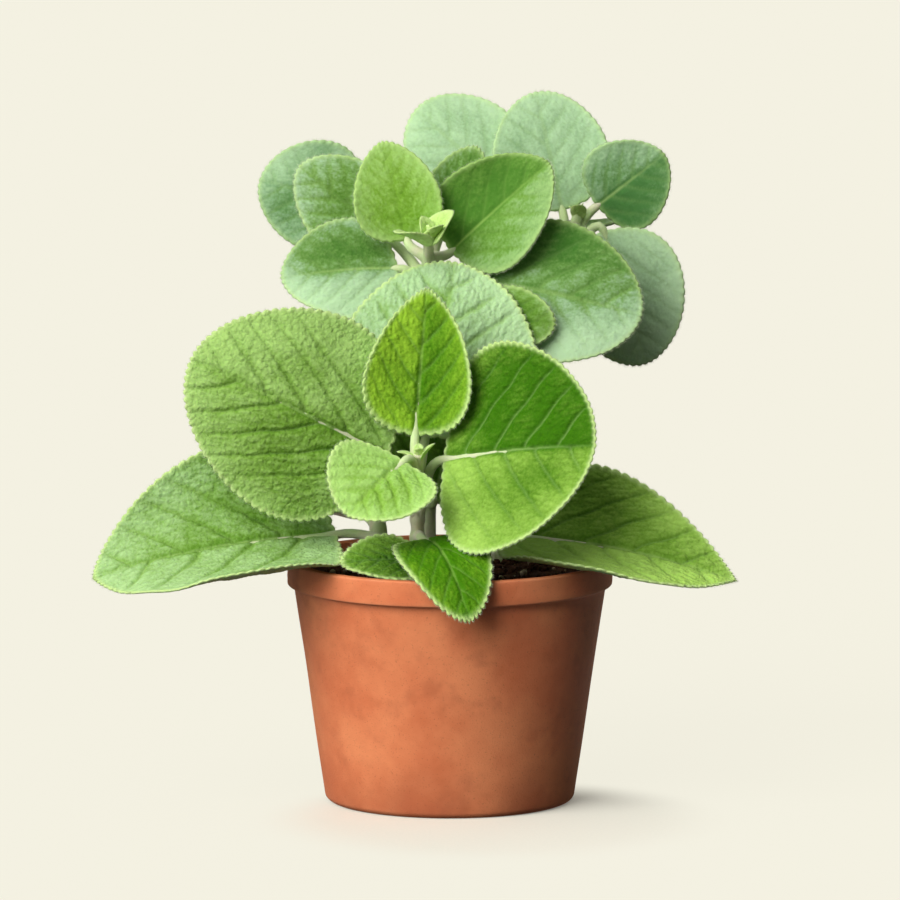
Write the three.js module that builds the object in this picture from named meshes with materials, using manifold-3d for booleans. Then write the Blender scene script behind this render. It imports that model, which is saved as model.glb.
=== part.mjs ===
// A potted Indian borage: a clay pot, its soil, four fleshy stems and their leaves.
// Millimetres, +Z up. The origin is the middle of the pot's foot, on the surface that it stands on,
// and +Y points away from the side that the plant is looked at from.
import * as THREE from "three";
import { mergeVertices } from "three/addons/utils/BufferGeometryUtils.js";
import Module from "manifold-3d";

const wasm = await Module();
wasm.setup();

// Joins and cuts keep no detail that is smaller than this.
const FINEST = 0.01;

// The pot
const POT_HEIGHT = 90;
const RIM_RADIUS = 60;
const RIM_BAND = 9.5;
const BAND_STEP = 2.4;
const FOOT_RADIUS = 46.2;
const WALL = 3.9;
const FLOOR = 6;
const EDGE = 0.8;
const POT_SIDES = 42;
const DRAIN_HOLES = 3;
const DRAIN_RADIUS = 6.5;
const DRAIN_CIRCLE = 24;

// The soil, and the room left between pieces that rest on or in each other
const GAP = 0.3;
const SOIL_BELOW_RIM = 6;
const SOIL_SIDES = 24;
const SOIL_RINGS = 4;
const LUMP = 0.9;

// Stems
const STEM_SIDES = 8;
const STEM_STEPS = 12;
const STEM_FOOT_RADIUS = 3.1;
const STEM_TIP_RADIUS = 1.9;

// Leaves
const BLADE_MIDDLE = 1.8;
const BLADE_EDGE = 0.9;
const MIDRIB_SINK = 0.5;
const MIDRIB_STEPS = 6;
const VEIN_RELIEF = 0.35;
const VEIN_LINE = 0.55;
const TEETH_PER_VEIN = 2.4;
const TOOTH_DEPTH = 0.022;
const TOOTH_PITCH = 7.6;
const OUTLINE_ROUNDNESS = 0.92;
const OUTLINE_EGG = 0.14;

// Leaf stalks, which run on as a rib under the first part of the midrib
const PETIOLE_SIDES = 5;
const PETIOLE_STEPS = 5;
const PETIOLE_STEM_RADIUS = 1.9;
const PETIOLE_BLADE_RADIUS = 1.25;
const PETIOLE_RISE = 0.35;
const PETIOLE_SWING = 0.4;
const RIB_SHARE = 0.2;
const RIB_DEPTH = 0.6;

// The young leaves round a stem's tip
const BUD_LEANS = [52, 28];
const BUD_SHRINK = 0.6;
const BUD_SINK = 1.2;
const BUD_SPREAD = 0.8;
const BUD_SLENDERNESS = 0.68;
const BUD_BEND = 40;
const BUD_CUP = 30;
const BUD_LINES = [
  { share: 1, steps: 8 },
  { share: 0, steps: 4 },
];

const COLOURS = { clay: 0xc8714c, soil: 0x2b1c15, stem: 0x9dbb7a, young: 0x86b53a, grown: 0x76a04c };

// Each stem's middle line, from its buried end to its growing tip.
const STEMS = {
  front: [[-12, -8, 52], [-12, -8, 84], [-12, -11, 104], [-12, -18, 120], [-11.5, -27, 133]],
  middle: [[-8, 22, 52], [-8, 22, 84], [-8, 27, 130], [-8, 29, 172], [-8, 27.5, 192], [-8, 14.5, 207]],
  right: [[18, 30, 52], [18, 30, 84], [26, 40, 130], [38, 52, 178], [48, 57, 212]],
  left: [[-26, 30, 52], [-26, 30, 84], [-30, 40, 130], [-34, 50, 170], [-33, 50, 205]],
};

// A blade's midrib runs from foot to tip, and its upper side looks towards face. bend is how far the
// midrib arches, and cup how far the halves on the right and on the left of it rise to their margins,
// in degrees. from is where its stalk leaves the stem, as a share of the stem's length.
const LEAVES = [
  { name: "front_leaf_upright", stem: "front", from: 0.86, foot: [-12.8, -22.5, 139], tip: [-8.5, -16, 192.5],
    face: [0.05, -1, 0.25], width: 42.5, bend: 12, cup: [50, 22], point: 0.7, young: true },
  { name: "front_leaf_low", stem: "front", from: 0.83, foot: [-17, -34.2, 131], tip: [-37, -57, 114],
    face: [-0.15, -0.85, 0.5], width: 43, bend: 30, cup: [12, 12], point: 0.2, young: true },
  { name: "front_leaf_left", stem: "front", from: 0.64, foot: [-23, -21, 131], tip: [-95, -27, 168],
    face: [-0.1, -0.95, 0.3], width: 78.5, bend: 28, cup: [-10, -10], point: 0.1 },
  { name: "front_leaf_right", stem: "front", from: 0.64, foot: [-2, -21, 130], tip: [53, -58, 140],
    face: [-0.5, -0.75, 0.45], width: 82, bend: 20, cup: [8, 25], point: 0.1 },
  { name: "front_leaf_back", stem: "front", from: 0.82, foot: [-9, -11.5, 137], tip: [2, 17.5, 198],
    face: [0, -0.8, 0.6], width: 74, bend: 24, cup: [-8, -8], point: 0.1 },
  { name: "rim_leaf_left", stem: "front", from: 0.45, foot: [-42, -12, 101], tip: [-131, -30, 87],
    face: [0, -0.62, 0.78], width: 80, bend: 24, cup: [50, 62], point: 0.5 },
  { name: "rim_leaf_right", stem: "front", from: 0.45, foot: [20, -12, 101], tip: [105, -30, 86],
    face: [0, -0.62, 0.78], width: 63, bend: 24, cup: [62, 48], point: 0.8 },
  { name: "rim_leaf_front", stem: "front", from: 0.55, foot: [-9, -28, 101], tip: [7, -71, 77],
    face: [0, -0.5, 0.85], width: 34, bend: 80, cup: [5, 5], point: 0.2, young: true },
  { name: "rim_leaf_inner", stem: "front", from: 0.5, foot: [-9, -25, 92.5], tip: [-40, -36, 93],
    face: [0, -0.5, 0.87], width: 28, bend: 20, cup: [10, 10], point: 0.2 },
  { name: "middle_leaf_upright", stem: "middle", from: 0.92, foot: [-16, 25, 205.5], tip: [-25, 29, 241.5],
    face: [0, -1, 0.2], width: 33, bend: 20, cup: [15, 15], point: 0.3, young: true },
  { name: "middle_leaf_tilted", stem: "middle", from: 0.92, foot: [3, 30, 202.5], tip: [37, 25, 234],
    face: [-0.1, -0.9, 0.4], width: 40, bend: 15, cup: [5, 35], point: 0.3, young: true },
  { name: "middle_leaf_left", stem: "middle", from: 0.79, foot: [-22, 28, 194.5], tip: [-62.5, 22, 191.5],
    face: [0, -0.85, 0.5], width: 41, bend: 25, cup: [8, 8], point: 0.2 },
  { name: "middle_leaf_right", stem: "middle", from: 0.81, foot: [12, 26, 190], tip: [71, 18, 178],
    face: [0.05, -0.9, 0.4], width: 56, bend: 25, cup: [8, 8], point: 0.1 },
  { name: "middle_leaf_behind", stem: "middle", from: 0.84, foot: [-24, 41, 205], tip: [-56, 43, 231],
    face: [-0.1, -1, 0.2], width: 36, bend: 20, cup: [6, 6], point: 0.2 },
  { name: "middle_leaf_rear", stem: "middle", from: 0.885, foot: [-2, 38, 210], tip: [10, 45, 238],
    face: [0, -1, 0.2], width: 24, bend: 20, cup: [8, 8], point: 0.3 },
  { name: "middle_leaf_inner", stem: "middle", from: 0.73, foot: [10, 12, 178], tip: [39, 8, 176],
    face: [0.05, -0.9, 0.4], width: 26, bend: 20, cup: [8, 8], point: 0.2 },
  { name: "middle_leaf_front", stem: "middle", from: 0.36, foot: [-6, 10, 110], tip: [3, 1, 148],
    face: [0, -0.95, 0.3], width: 44, bend: 20, cup: [8, 8], point: 0.1 },
  { name: "middle_leaf_low", stem: "middle", from: 0.4, foot: [-2, 45, 115], tip: [8, 92, 95],
    face: [0, 0.4, 1], width: 56, bend: 30, cup: [10, 10], point: 0.1 },
  { name: "middle_leaf_back", stem: "middle", from: 0.62, foot: [-7, 48, 162], tip: [-6, 92, 154],
    face: [0, 0.4, 0.9], width: 50, bend: 30, cup: [10, 10], point: 0.1 },
  { name: "right_leaf_left", stem: "right", from: 0.83, foot: [20.5, 69.5, 219], tip: [-13, 80.5, 248],
    face: [0, -1, 0.2], width: 44, bend: 20, cup: [6, 6], point: 0.1 },
  { name: "right_leaf_upright", stem: "right", from: 0.89, foot: [42, 65, 212], tip: [32, 76, 255],
    face: [0, -1, 0.3], width: 44, bend: 20, cup: [6, 6], point: 0.1 },
  { name: "right_leaf_tilted", stem: "right", from: 0.915, foot: [55, 60, 214], tip: [80, 55, 234],
    face: [0.1, -1, 0.2], width: 35, bend: 20, cup: [8, 8], point: 0.2 },
  { name: "right_leaf_drooping", stem: "right", from: 0.86, foot: [57.5, 53.5, 205], tip: [73, 53.5, 155.5],
    face: [0.1, -1, 0.15], width: 46, bend: 30, cup: [8, 8], point: 0.1 },
  { name: "right_leaf_rear", stem: "right", from: 0.76, foot: [48, 72, 204], tip: [52, 106, 200],
    face: [0, 0.5, 0.85], width: 40, bend: 30, cup: [10, 10], point: 0.1 },
  { name: "right_leaf_middle", stem: "right", from: 0.5, foot: [26, 56, 142], tip: [24, 103, 133],
    face: [0, 0.4, 0.9], width: 47, bend: 30, cup: [10, 10], point: 0.1 },
  { name: "right_leaf_low", stem: "right", from: 0.28, foot: [30, 45, 98], tip: [74, 80, 90],
    face: [0.2, 0.2, 1], width: 54, bend: 40, cup: [10, 10], point: 0.1 },
  { name: "right_leaf_outer", stem: "right", from: 0.72, foot: [48, 66, 174], tip: [62, 104, 164],
    face: [0.2, 0.5, 0.85], width: 44, bend: 30, cup: [10, 10], point: 0.1 },
  { name: "left_leaf_upright", stem: "left", from: 0.9, foot: [-34, 60, 213], tip: [-71, 60, 224],
    face: [0, -1, 0.3], width: 42, bend: 20, cup: [6, 6], point: 0.1 },
  { name: "left_leaf_outer", stem: "left", from: 0.6, foot: [-42, 60, 152.5], tip: [-87, 82, 150.5],
    face: [-0.2, 0.2, 0.95], width: 54, bend: 28, cup: [10, 10], point: 0.1 },
  { name: "left_leaf_rear", stem: "left", from: 0.8, foot: [-32, 68, 184], tip: [-30, 106, 176],
    face: [0, 0.5, 0.85], width: 48, bend: 30, cup: [10, 10], point: 0.1 },
  { name: "left_leaf_middle", stem: "left", from: 0.45, foot: [-26, 50, 120], tip: [-46, 98, 108],
    face: [0, 0.2, 1], width: 54, bend: 30, cup: [10, 10], point: 0.1 },
  { name: "left_leaf_low", stem: "left", from: 0.28, foot: [-34, 45, 100], tip: [-79, 75, 92],
    face: [-0.2, 0.2, 1], width: 54, bend: 40, cup: [10, 10], point: 0.1 },
];

// The young pairs round a stem's tip, each turned a quarter from the pair below and closer to upright.
// turn is the lowest pair's direction about +Z in degrees, and length is how long its leaves are.
const BUDS = {
  front: { turn: 0, length: 7.5 },
  middle: { turn: 42, length: 16 },
  right: { turn: -92, length: 7.5 },
  left: { turn: 0, length: 10 },
};
const vec = (p) => new THREE.Vector3(...p);
const radians = THREE.MathUtils.degToRad;

// A closed geometry as a solid that can be joined and cut.
function solidOf(geometry) {
  const bare = geometry.clone();
  for (const key of Object.keys(bare.attributes)) if (key !== "position") bare.deleteAttribute(key);
  const merged = mergeVertices(bare, 1e-4);
  return new wasm.Manifold(
    new wasm.Mesh({
      numProp: 3,
      vertProperties: merged.attributes.position.array,
      triVerts: new Uint32Array(merged.index.array),
      tolerance: FINEST,
    }),
  );
}

// A solid as a geometry again.
function geometryOf(solid) {
  const mesh = solid.getMesh();
  const geometry = new THREE.BufferGeometry();
  geometry.setAttribute("position", new THREE.BufferAttribute(new Float32Array(mesh.vertProperties), 3));
  geometry.setIndex(new THREE.BufferAttribute(new Uint32Array(mesh.triVerts), 1));
  geometry.computeVertexNormals();
  return geometry;
}

// Collects points and triangles for a shape that no ready geometry class has.
class Shell {
  constructor() {
    this.points = [];
    this.faces = [];
  }
  add(p) {
    this.points.push(p.x, p.y, p.z);
    return this.points.length / 3 - 1;
  }
  face(a, b, c) {
    if (a !== b && b !== c && a !== c) this.faces.push(a, b, c);
  }
  solid() {
    return new wasm.Manifold(
      new wasm.Mesh({
        numProp: 3,
        vertProperties: new Float32Array(this.points),
        triVerts: new Uint32Array(this.faces),
        tolerance: FINEST,
      }),
    );
  }
}

// A round bar along a curve, with a radius that may change, and closed ends.
function bar(curve, steps, sides, radiusAt) {
  const shell = new Shell();
  const frames = curve.computeFrenetFrames(steps, false);
  const rings = [];
  for (let i = 0; i <= steps; i++) {
    const centre = curve.getPointAt(i / steps);
    const ring = [];
    for (let k = 0; k < sides; k++) {
      const angle = (2 * Math.PI * k) / sides;
      const out = frames.normals[i].clone().multiplyScalar(Math.cos(angle));
      out.addScaledVector(frames.binormals[i], Math.sin(angle));
      ring.push(shell.add(centre.clone().addScaledVector(out, radiusAt(i / steps))));
    }
    rings.push(ring);
  }
  const next = (k) => (k + 1) % sides;
  for (let i = 0; i < steps; i++)
    for (let k = 0; k < sides; k++) {
      shell.face(rings[i][k], rings[i][next(k)], rings[i + 1][next(k)]);
      shell.face(rings[i][k], rings[i + 1][next(k)], rings[i + 1][k]);
    }
  for (let k = 1; k < sides - 1; k++) {
    shell.face(rings[0][0], rings[0][k + 1], rings[0][k]);
    shell.face(rings[steps][0], rings[steps][k], rings[steps][k + 1]);
  }
  return shell.solid();
}

// A turned shape about Z, from its outline of [radius, height] points.
function turned(outline, sides) {
  const lathe = new THREE.LatheGeometry(outline.map(([r, z]) => new THREE.Vector2(r, z)), sides);
  return solidOf(lathe.rotateX(Math.PI / 2));
}

// Pot

const bodyTop = POT_HEIGHT - RIM_BAND;
const innerRimRadius = RIM_RADIUS - WALL;
const innerFloorRadius = FOOT_RADIUS - WALL;
const innerRadiusAt = (z) =>
  THREE.MathUtils.mapLinear(z, FLOOR, POT_HEIGHT, innerFloorRadius, innerRimRadius);

function pot() {
  const outline = [
    [0, 0],
    [FOOT_RADIUS - 2 * EDGE, 0],
    [FOOT_RADIUS, 2 * EDGE],
    [RIM_RADIUS - BAND_STEP, bodyTop],
    [RIM_RADIUS - EDGE / 2, bodyTop],
    [RIM_RADIUS, bodyTop + EDGE],
    [RIM_RADIUS, POT_HEIGHT - EDGE],
    [RIM_RADIUS - EDGE, POT_HEIGHT],
    [innerRimRadius + EDGE, POT_HEIGHT],
    [innerRimRadius, POT_HEIGHT - EDGE],
    [innerRadiusAt(FLOOR + 2), FLOOR + 2],
    [innerFloorRadius - 2, FLOOR],
    [0, FLOOR],
  ];
  let body = turned(outline, POT_SIDES);
  for (let i = 0; i < DRAIN_HOLES; i++) {
    const angle = (2 * Math.PI * i) / DRAIN_HOLES + Math.PI / 2;
    const hole = new THREE.CylinderGeometry(DRAIN_RADIUS, DRAIN_RADIUS, 3 * FLOOR, 12);
    hole.rotateX(Math.PI / 2);
    hole.translate(DRAIN_CIRCLE * Math.cos(angle), DRAIN_CIRCLE * Math.sin(angle), 0);
    body = body.subtract(solidOf(hole));
  }
  return body;
}

// Stems

const stemCurve = (name, deeper = 0) => {
  const points = STEMS[name].map(vec);
  points[0].z -= deeper;
  return new THREE.CatmullRomCurve3(points);
};
const stemRadius = (u) => THREE.MathUtils.lerp(STEM_FOOT_RADIUS, STEM_TIP_RADIUS, u);
// A stem alone, or the room for one, which is wider and deeper by extra.
const stemBar = (name, extra) =>
  bar(stemCurve(name, extra), STEM_STEPS, STEM_SIDES, (u) => stemRadius(u) + extra);

// Leaves

// A blade's own frame: along its chord, across it, and out of its upper side.
function bladeFrame(leaf) {
  const foot = vec(leaf.foot);
  const along = vec(leaf.tip).sub(foot);
  const chord = along.length();
  along.normalize();
  const face = vec(leaf.face);
  face.addScaledVector(along, -face.dot(along)).normalize();
  const across = new THREE.Vector3().crossVectors(face, along);
  const bend = radians(leaf.bend);
  const bow = chord / (2 * Math.sin(bend / 2));
  return { foot, along, across, face, bend, bow, length: bow * bend, half: leaf.width / 2 };
}

// The point of the blade's middle surface that lies x along the midrib and y to its left, and the
// direction out of the upper side there.
function bladePoint(leaf, frame, x, y) {
  const turn = frame.bend * (0.5 - x / frame.length);
  const point = frame.foot.clone();
  point.addScaledVector(frame.along, frame.bow * (Math.sin(frame.bend / 2) - Math.sin(turn)));
  point.addScaledVector(frame.face, frame.bow * (Math.cos(turn) - Math.cos(frame.bend / 2)));
  const up = frame.face.clone().multiplyScalar(Math.cos(turn)).addScaledVector(frame.along, -Math.sin(turn));
  const curl = radians(leaf.cup[y > 0 ? 1 : 0]) / frame.half;
  const swing = curl * Math.abs(y);
  point.addScaledVector(frame.across, (Math.sign(y) * Math.sin(swing)) / curl);
  point.addScaledVector(up, (1 - Math.cos(swing)) / curl);
  const out = up.clone().multiplyScalar(Math.cos(swing));
  out.addScaledVector(frame.across, -Math.sign(y) * Math.sin(swing));
  return { point, out };
}

// The outline's half width at the angle t, which runs from 0 at the blade's foot to PI at its tip.
const outlineShape = (leaf, t) =>
  Math.sin(t) ** OUTLINE_ROUNDNESS * (1 + OUTLINE_EGG * Math.cos(t)) * Math.cos(t / 2) ** leaf.point;
function outlineWidest(leaf) {
  const tries = 60;
  let widest = 0;
  for (let i = 1; i < tries; i++) widest = Math.max(widest, outlineShape(leaf, (Math.PI * i) / tries));
  return widest;
}

// One blade: the same mesh on both faces, from lines that all run from the foot to the tip.
function blade(leaf, lines) {
  const frame = bladeFrame(leaf);
  const widest = outlineWidest(leaf);
  const shell = new Shell();
  const middle = frame.length / 2;
  const place = (x, y, sink) => {
    const { point, out } = bladePoint(leaf, frame, x, y);
    const reach = Math.min(1, Math.hypot((x - middle) / middle, y / frame.half));
    const thick = THREE.MathUtils.lerp(BLADE_MIDDLE, BLADE_EDGE, reach ** 2) / 2;
    const top = point.clone().addScaledVector(out, thick - sink);
    const under = point.clone().addScaledVector(out, -thick - sink);
    return { top: shell.add(top), under: shell.add(under) };
  };
  const foot = place(0, 0, 0);
  const tip = place(frame.length, 0, 0);
  const lineOf = ({ share, steps }, side, line) => {
    const nodes = [foot];
    for (let i = 1; i < steps; i++) {
      const t = (Math.PI * i) / steps;
      let x = (frame.length * (1 - Math.cos(t))) / 2;
      let y = (side * share * frame.half * outlineShape(leaf, t)) / widest;
      const cut = line === 0 && (steps - i) % 2 ? 1 - 2 * TOOTH_DEPTH : 1;
      x = middle + (x - middle) * cut;
      y *= cut;
      const ripple = line === 1 ? (i % 2 ? VEIN_RELIEF : -VEIN_RELIEF) : 0;
      nodes.push(place(x, y, share === 0 ? MIDRIB_SINK : ripple));
    }
    nodes.push(tip);
    return nodes;
  };
  const strip = (outer, inner, side) => {
    let i = 0;
    let j = 0;
    while (i < outer.length - 1 || j < inner.length - 1) {
      const step = (i + 1) / (outer.length - 1) <= (j + 1) / (inner.length - 1);
      const third = step ? outer[++i] : inner[++j];
      const [a, b] = step ? [outer[i - 1], inner[j]] : [outer[i], inner[j - 1]];
      const [p, q] = side > 0 ? [a, b] : [b, a];
      shell.face(p.top, q.top, third.top);
      shell.face(q.under, p.under, third.under);
    }
  };
  const rim = (line, side) => {
    for (let i = 0; i < line.length - 1; i++) {
      const [p, q] = side > 0 ? [line[i + 1], line[i]] : [line[i], line[i + 1]];
      shell.face(p.top, p.under, q.under);
      shell.face(p.top, q.under, q.top);
    }
  };
  const midrib = lineOf({ share: 0, steps: lines[lines.length - 1].steps }, 1, -1);
  for (const side of [1, -1]) {
    const made = lines.slice(0, -1).map((line, k) => lineOf(line, side, k));
    rim(made[0], side);
    made.forEach((line, k) => strip(line, made[k + 1] || midrib, side));
  }
  return shell.solid();
}

// The teeth along one margin, which is about half of an ellipse.
const toothCount = (leaf) =>
  Math.round(((Math.PI / 4) * (bladeFrame(leaf).length + leaf.width)) / TOOTH_PITCH);

const leafLines = (leaf) => [
  { share: 1, steps: 2 * toothCount(leaf) },
  { share: VEIN_LINE, steps: 2 * Math.round(toothCount(leaf) / TEETH_PER_VEIN) },
  { share: 0, steps: MIDRIB_STEPS },
];

// The stalk leaves the stem, swings round to the blade's foot and runs on under the midrib.
function petiole(leaf) {
  const frame = bladeFrame(leaf);
  const stem = stemCurve(leaf.stem);
  const start = stem.getPointAt(leaf.from);
  const foot = frame.foot;
  const rising = stem.getTangentAt(leaf.from);
  const reach = foot.distanceTo(start);
  const aim = frame.along.clone().multiplyScalar(Math.cos(frame.bend / 2));
  aim.addScaledVector(frame.face, Math.sin(frame.bend / 2));
  const away = foot.clone().sub(start).normalize().addScaledVector(rising, PETIOLE_RISE).normalize();
  const curve = new THREE.CubicBezierCurve3(
    start,
    start.clone().addScaledVector(away, PETIOLE_SWING * reach),
    foot.clone().addScaledVector(aim, -PETIOLE_SWING * reach),
    foot,
  );
  const path = curve.getPoints(PETIOLE_STEPS).slice(0, -1);
  for (const share of [0, RIB_SHARE / 2, RIB_SHARE]) {
    const { point, out } = bladePoint(leaf, frame, share * frame.length, 0);
    path.push(point.addScaledVector(out, -RIB_DEPTH));
  }
  return bar(new THREE.CatmullRomCurve3(path), PETIOLE_STEPS, PETIOLE_SIDES, (u) =>
    THREE.MathUtils.lerp(PETIOLE_STEM_RADIUS, PETIOLE_BLADE_RADIUS, u),
  );
}

function leafSolid(leaf) {
  return blade(leaf, leafLines(leaf)).add(petiole(leaf)).subtract(stemBar(leaf.stem, GAP));
}

// The tiny leaves round a stem's tip, sunk into it.
function budLeaves(name) {
  const { turn, length } = BUDS[name];
  const tip = vec(STEMS[name][STEMS[name].length - 1]);
  const made = [];
  BUD_LEANS.forEach((lean, level) => {
    const size = length * BUD_SHRINK ** level;
    for (const side of [0, 180]) {
      const heading = radians(turn + 90 * level + side);
      const away = new THREE.Vector3(Math.cos(heading), Math.sin(heading), 0);
      const along = away.clone().multiplyScalar(Math.sin(radians(lean)));
      along.z = Math.cos(radians(lean));
      const face = away.clone().multiplyScalar(-Math.cos(radians(lean)));
      face.z = Math.sin(radians(lean));
      const foot = tip.clone().addScaledVector(away, BUD_SPREAD);
      foot.z -= BUD_SINK * (BUD_LEANS.length - level);
      made.push({
        foot: foot.toArray(),
        tip: foot.clone().addScaledVector(along, size).toArray(),
        face: face.toArray(),
        width: size * BUD_SLENDERNESS,
        bend: BUD_BEND,
        cup: [BUD_CUP, BUD_CUP],
        point: 0.2,
      });
    }
  });
  return made;
}

function stem(name) {
  return budLeaves(name).reduce((whole, leaf) => whole.add(blade(leaf, BUD_LINES)), stemBar(name, 0));
}

// Soil

// Its top is lumpy, and lowest where it meets the pot.
function soilTop(x, y) {
  const lumps = Math.sin(0.21 * x + 1.3) * Math.cos(0.17 * y) + 0.6 * Math.sin(0.33 * y - 0.19 * x);
  return POT_HEIGHT - SOIL_BELOW_RIM + LUMP * lumps;
}

function soil() {
  const shell = new Shell();
  const level = POT_HEIGHT - SOIL_BELOW_RIM;
  const middleTop = shell.add(new THREE.Vector3(0, 0, soilTop(0, 0)));
  const floorZ = FLOOR + GAP;
  const middleFloor = shell.add(new THREE.Vector3(0, 0, floorZ));
  const ring = (radius, heightAt) => {
    const made = [];
    for (let k = 0; k < SOIL_SIDES; k++) {
      const angle = (2 * Math.PI * k) / SOIL_SIDES;
      const x = radius * Math.cos(angle);
      const y = radius * Math.sin(angle);
      made.push(shell.add(new THREE.Vector3(x, y, heightAt(x, y))));
    }
    return made;
  };
  // The corners of the many-sided pot are further out than the middles of its sides.
  const snug = Math.cos(Math.PI / POT_SIDES);
  const edge = innerRadiusAt(level - 2) * snug - GAP;
  const rings = [];
  for (let i = 1; i <= SOIL_RINGS; i++) rings.push(ring((edge * i) / SOIL_RINGS, soilTop));
  const low = innerRadiusAt(FLOOR + 3) * snug - GAP;
  rings.push(ring(low, () => FLOOR + 3), ring(low - 3, () => floorZ));
  const next = (k) => (k + 1) % SOIL_SIDES;
  for (let k = 0; k < SOIL_SIDES; k++) {
    shell.face(middleTop, rings[0][k], rings[0][next(k)]);
    for (let i = 0; i < rings.length - 1; i++) {
      shell.face(rings[i][k], rings[i + 1][k], rings[i + 1][next(k)]);
      shell.face(rings[i][k], rings[i + 1][next(k)], rings[i][next(k)]);
    }
    shell.face(middleFloor, rings[rings.length - 1][next(k)], rings[rings.length - 1][k]);
  }
  let body = shell.solid();
  for (const name of Object.keys(STEMS)) body = body.subtract(stemBar(name, GAP));
  return body;
}

// The whole plant

const plant = new THREE.Group();

function place(name, solid, colour, roughness) {
  const material = new THREE.MeshStandardMaterial({ color: colour, roughness, metalness: 0 });
  const mesh = new THREE.Mesh(geometryOf(solid), material);
  mesh.name = name;
  plant.add(mesh);
}

place("pot", pot(), COLOURS.clay, 0.9);
place("soil", soil(), COLOURS.soil, 1);
for (const name of Object.keys(STEMS)) place(name + "_stem", stem(name), COLOURS.stem, 0.7);
for (const leaf of LEAVES) place(leaf.name, leafSolid(leaf), COLOURS[leaf.young ? "young" : "grown"], 0.65);

export default plant;
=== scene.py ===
# %% [markdown]
# # A potted Indian borage
# This lesson dresses a herb in a clay pot. The solid model of the plant is loaded first and never
# changes: it says where the pot, the soil, each stem and each leaf is. Every piece below is made in its
# place, in metres, with +Z up and the middle of the pot's foot at the origin.

# %% Load the solid model
import math
import random

import bmesh
import bpy
import numpy as np
from mathutils import Matrix, Vector, noise


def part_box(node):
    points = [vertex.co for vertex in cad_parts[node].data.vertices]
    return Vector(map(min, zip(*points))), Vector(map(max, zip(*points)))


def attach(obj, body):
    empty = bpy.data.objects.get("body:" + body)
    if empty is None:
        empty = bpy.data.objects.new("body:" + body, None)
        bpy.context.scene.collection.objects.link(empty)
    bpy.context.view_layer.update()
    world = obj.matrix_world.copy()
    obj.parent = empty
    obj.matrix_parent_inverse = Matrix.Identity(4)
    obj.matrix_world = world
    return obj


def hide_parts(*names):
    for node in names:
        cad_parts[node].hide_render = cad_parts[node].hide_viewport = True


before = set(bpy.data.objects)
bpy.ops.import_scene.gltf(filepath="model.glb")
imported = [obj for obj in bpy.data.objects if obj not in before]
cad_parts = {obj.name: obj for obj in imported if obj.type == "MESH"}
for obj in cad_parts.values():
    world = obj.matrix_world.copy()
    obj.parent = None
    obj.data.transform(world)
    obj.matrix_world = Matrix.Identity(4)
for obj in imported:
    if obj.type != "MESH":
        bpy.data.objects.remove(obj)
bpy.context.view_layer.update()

# %% [markdown]
# ## The camera
# The plant is looked at from a little above, from far away, so that the rim of the pot is a narrow
# ellipse. A long lens from four metres gives that. Its length follows from one measured thing: the rim
# is 120 mm across and takes 325 of the picture's 900 pixels.

# %% Place the camera
PICTURE_PIXELS = 900
RIM_PIXELS = 325
RIM_WIDTH = 0.120
SENSOR_WIDTH = 36
CAMERA_DISTANCE = 4.0
CAMERA_ELEVATION = math.radians(8)
AIM = Vector((0, 0, 0.1303))

camera_data = bpy.data.cameras.new("camera")
camera_data.sensor_width = SENSOR_WIDTH
camera_data.lens = SENSOR_WIDTH * CAMERA_DISTANCE * RIM_PIXELS / (PICTURE_PIXELS * RIM_WIDTH)
camera_data.clip_end = 100
camera = bpy.data.objects.new("camera", camera_data)
bpy.context.scene.collection.objects.link(camera)
looking = Vector((0, math.cos(CAMERA_ELEVATION), -math.sin(CAMERA_ELEVATION)))
camera.location = AIM - CAMERA_DISTANCE * looking
camera.rotation_euler = looking.to_track_quat("-Z", "Y").to_euler()
bpy.context.scene.camera = camera
print("lens", round(camera_data.lens), "mm")

# %% [markdown]
# ## Light
# A product picture is lit by large soft lamps. Lamps near the plant would leave the far floor darker, so
# these are suns with a wide disc: each lights the whole floor evenly and still gives soft shadows. The
# key light stands in front on the left and a weaker one overhead. Two faint ones are low, in front and on
# the left, where they reach under the large leaves, and one is behind for the edges. What they give the
# floor is added up, because the floor's finish needs it.

# %% Hang the lights
floor_light = 0.0


def sun(name, strength, azimuth, elevation, softness):
    """A sun whose light comes from azimuth, counted from the viewer's side towards the right."""
    global floor_light
    data = bpy.data.lights.new(name, "SUN")
    data.energy = math.pi * strength
    data.angle = math.radians(softness)
    lamp = bpy.data.objects.new(name, data)
    bpy.context.scene.collection.objects.link(lamp)
    turn, rise = math.radians(azimuth), math.radians(elevation)
    towards = Vector((math.sin(turn) * math.cos(rise), -math.cos(turn) * math.cos(rise), math.sin(rise)))
    lamp.rotation_euler = (-towards).to_track_quat("-Z", "Y").to_euler()
    floor_light += strength * math.sin(rise)
    print(name, "gives the floor", round(strength * math.sin(rise), 2))


sun("key_light", 0.88, -38, 36, 45)
sun("front_light", 0.10, -25, 6, 30)
sun("overhead_light", 0.26, -20, 78, 80)
sun("side_light", 0.20, -64, 12, 40)
sun("back_light", 0.14, 175, 40, 50)

AMBIENT = 0.035
ROOM_TINT = (1.0, 0.98, 0.93, 1)
floor_light += AMBIENT
world = bpy.data.worlds.new("room")
bpy.context.scene.world = world
world.use_nodes = True
room = world.node_tree.nodes["Background"]
room.inputs["Color"].default_value = ROOM_TINT
room.inputs["Strength"].default_value = AMBIENT
bpy.context.scene.view_settings.view_transform = "Standard"
print("light on the floor:", round(floor_light, 2))

# %% [markdown]
# ## Nodes for a finish
# Each finish below is a small network of nodes. Writing out every link would hide what the finish is
# about, so a few helpers add a node, link it and return its output. A Mix node has sockets for every kind
# of value under the same names, so its colour sockets are found by their numbers.

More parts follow.
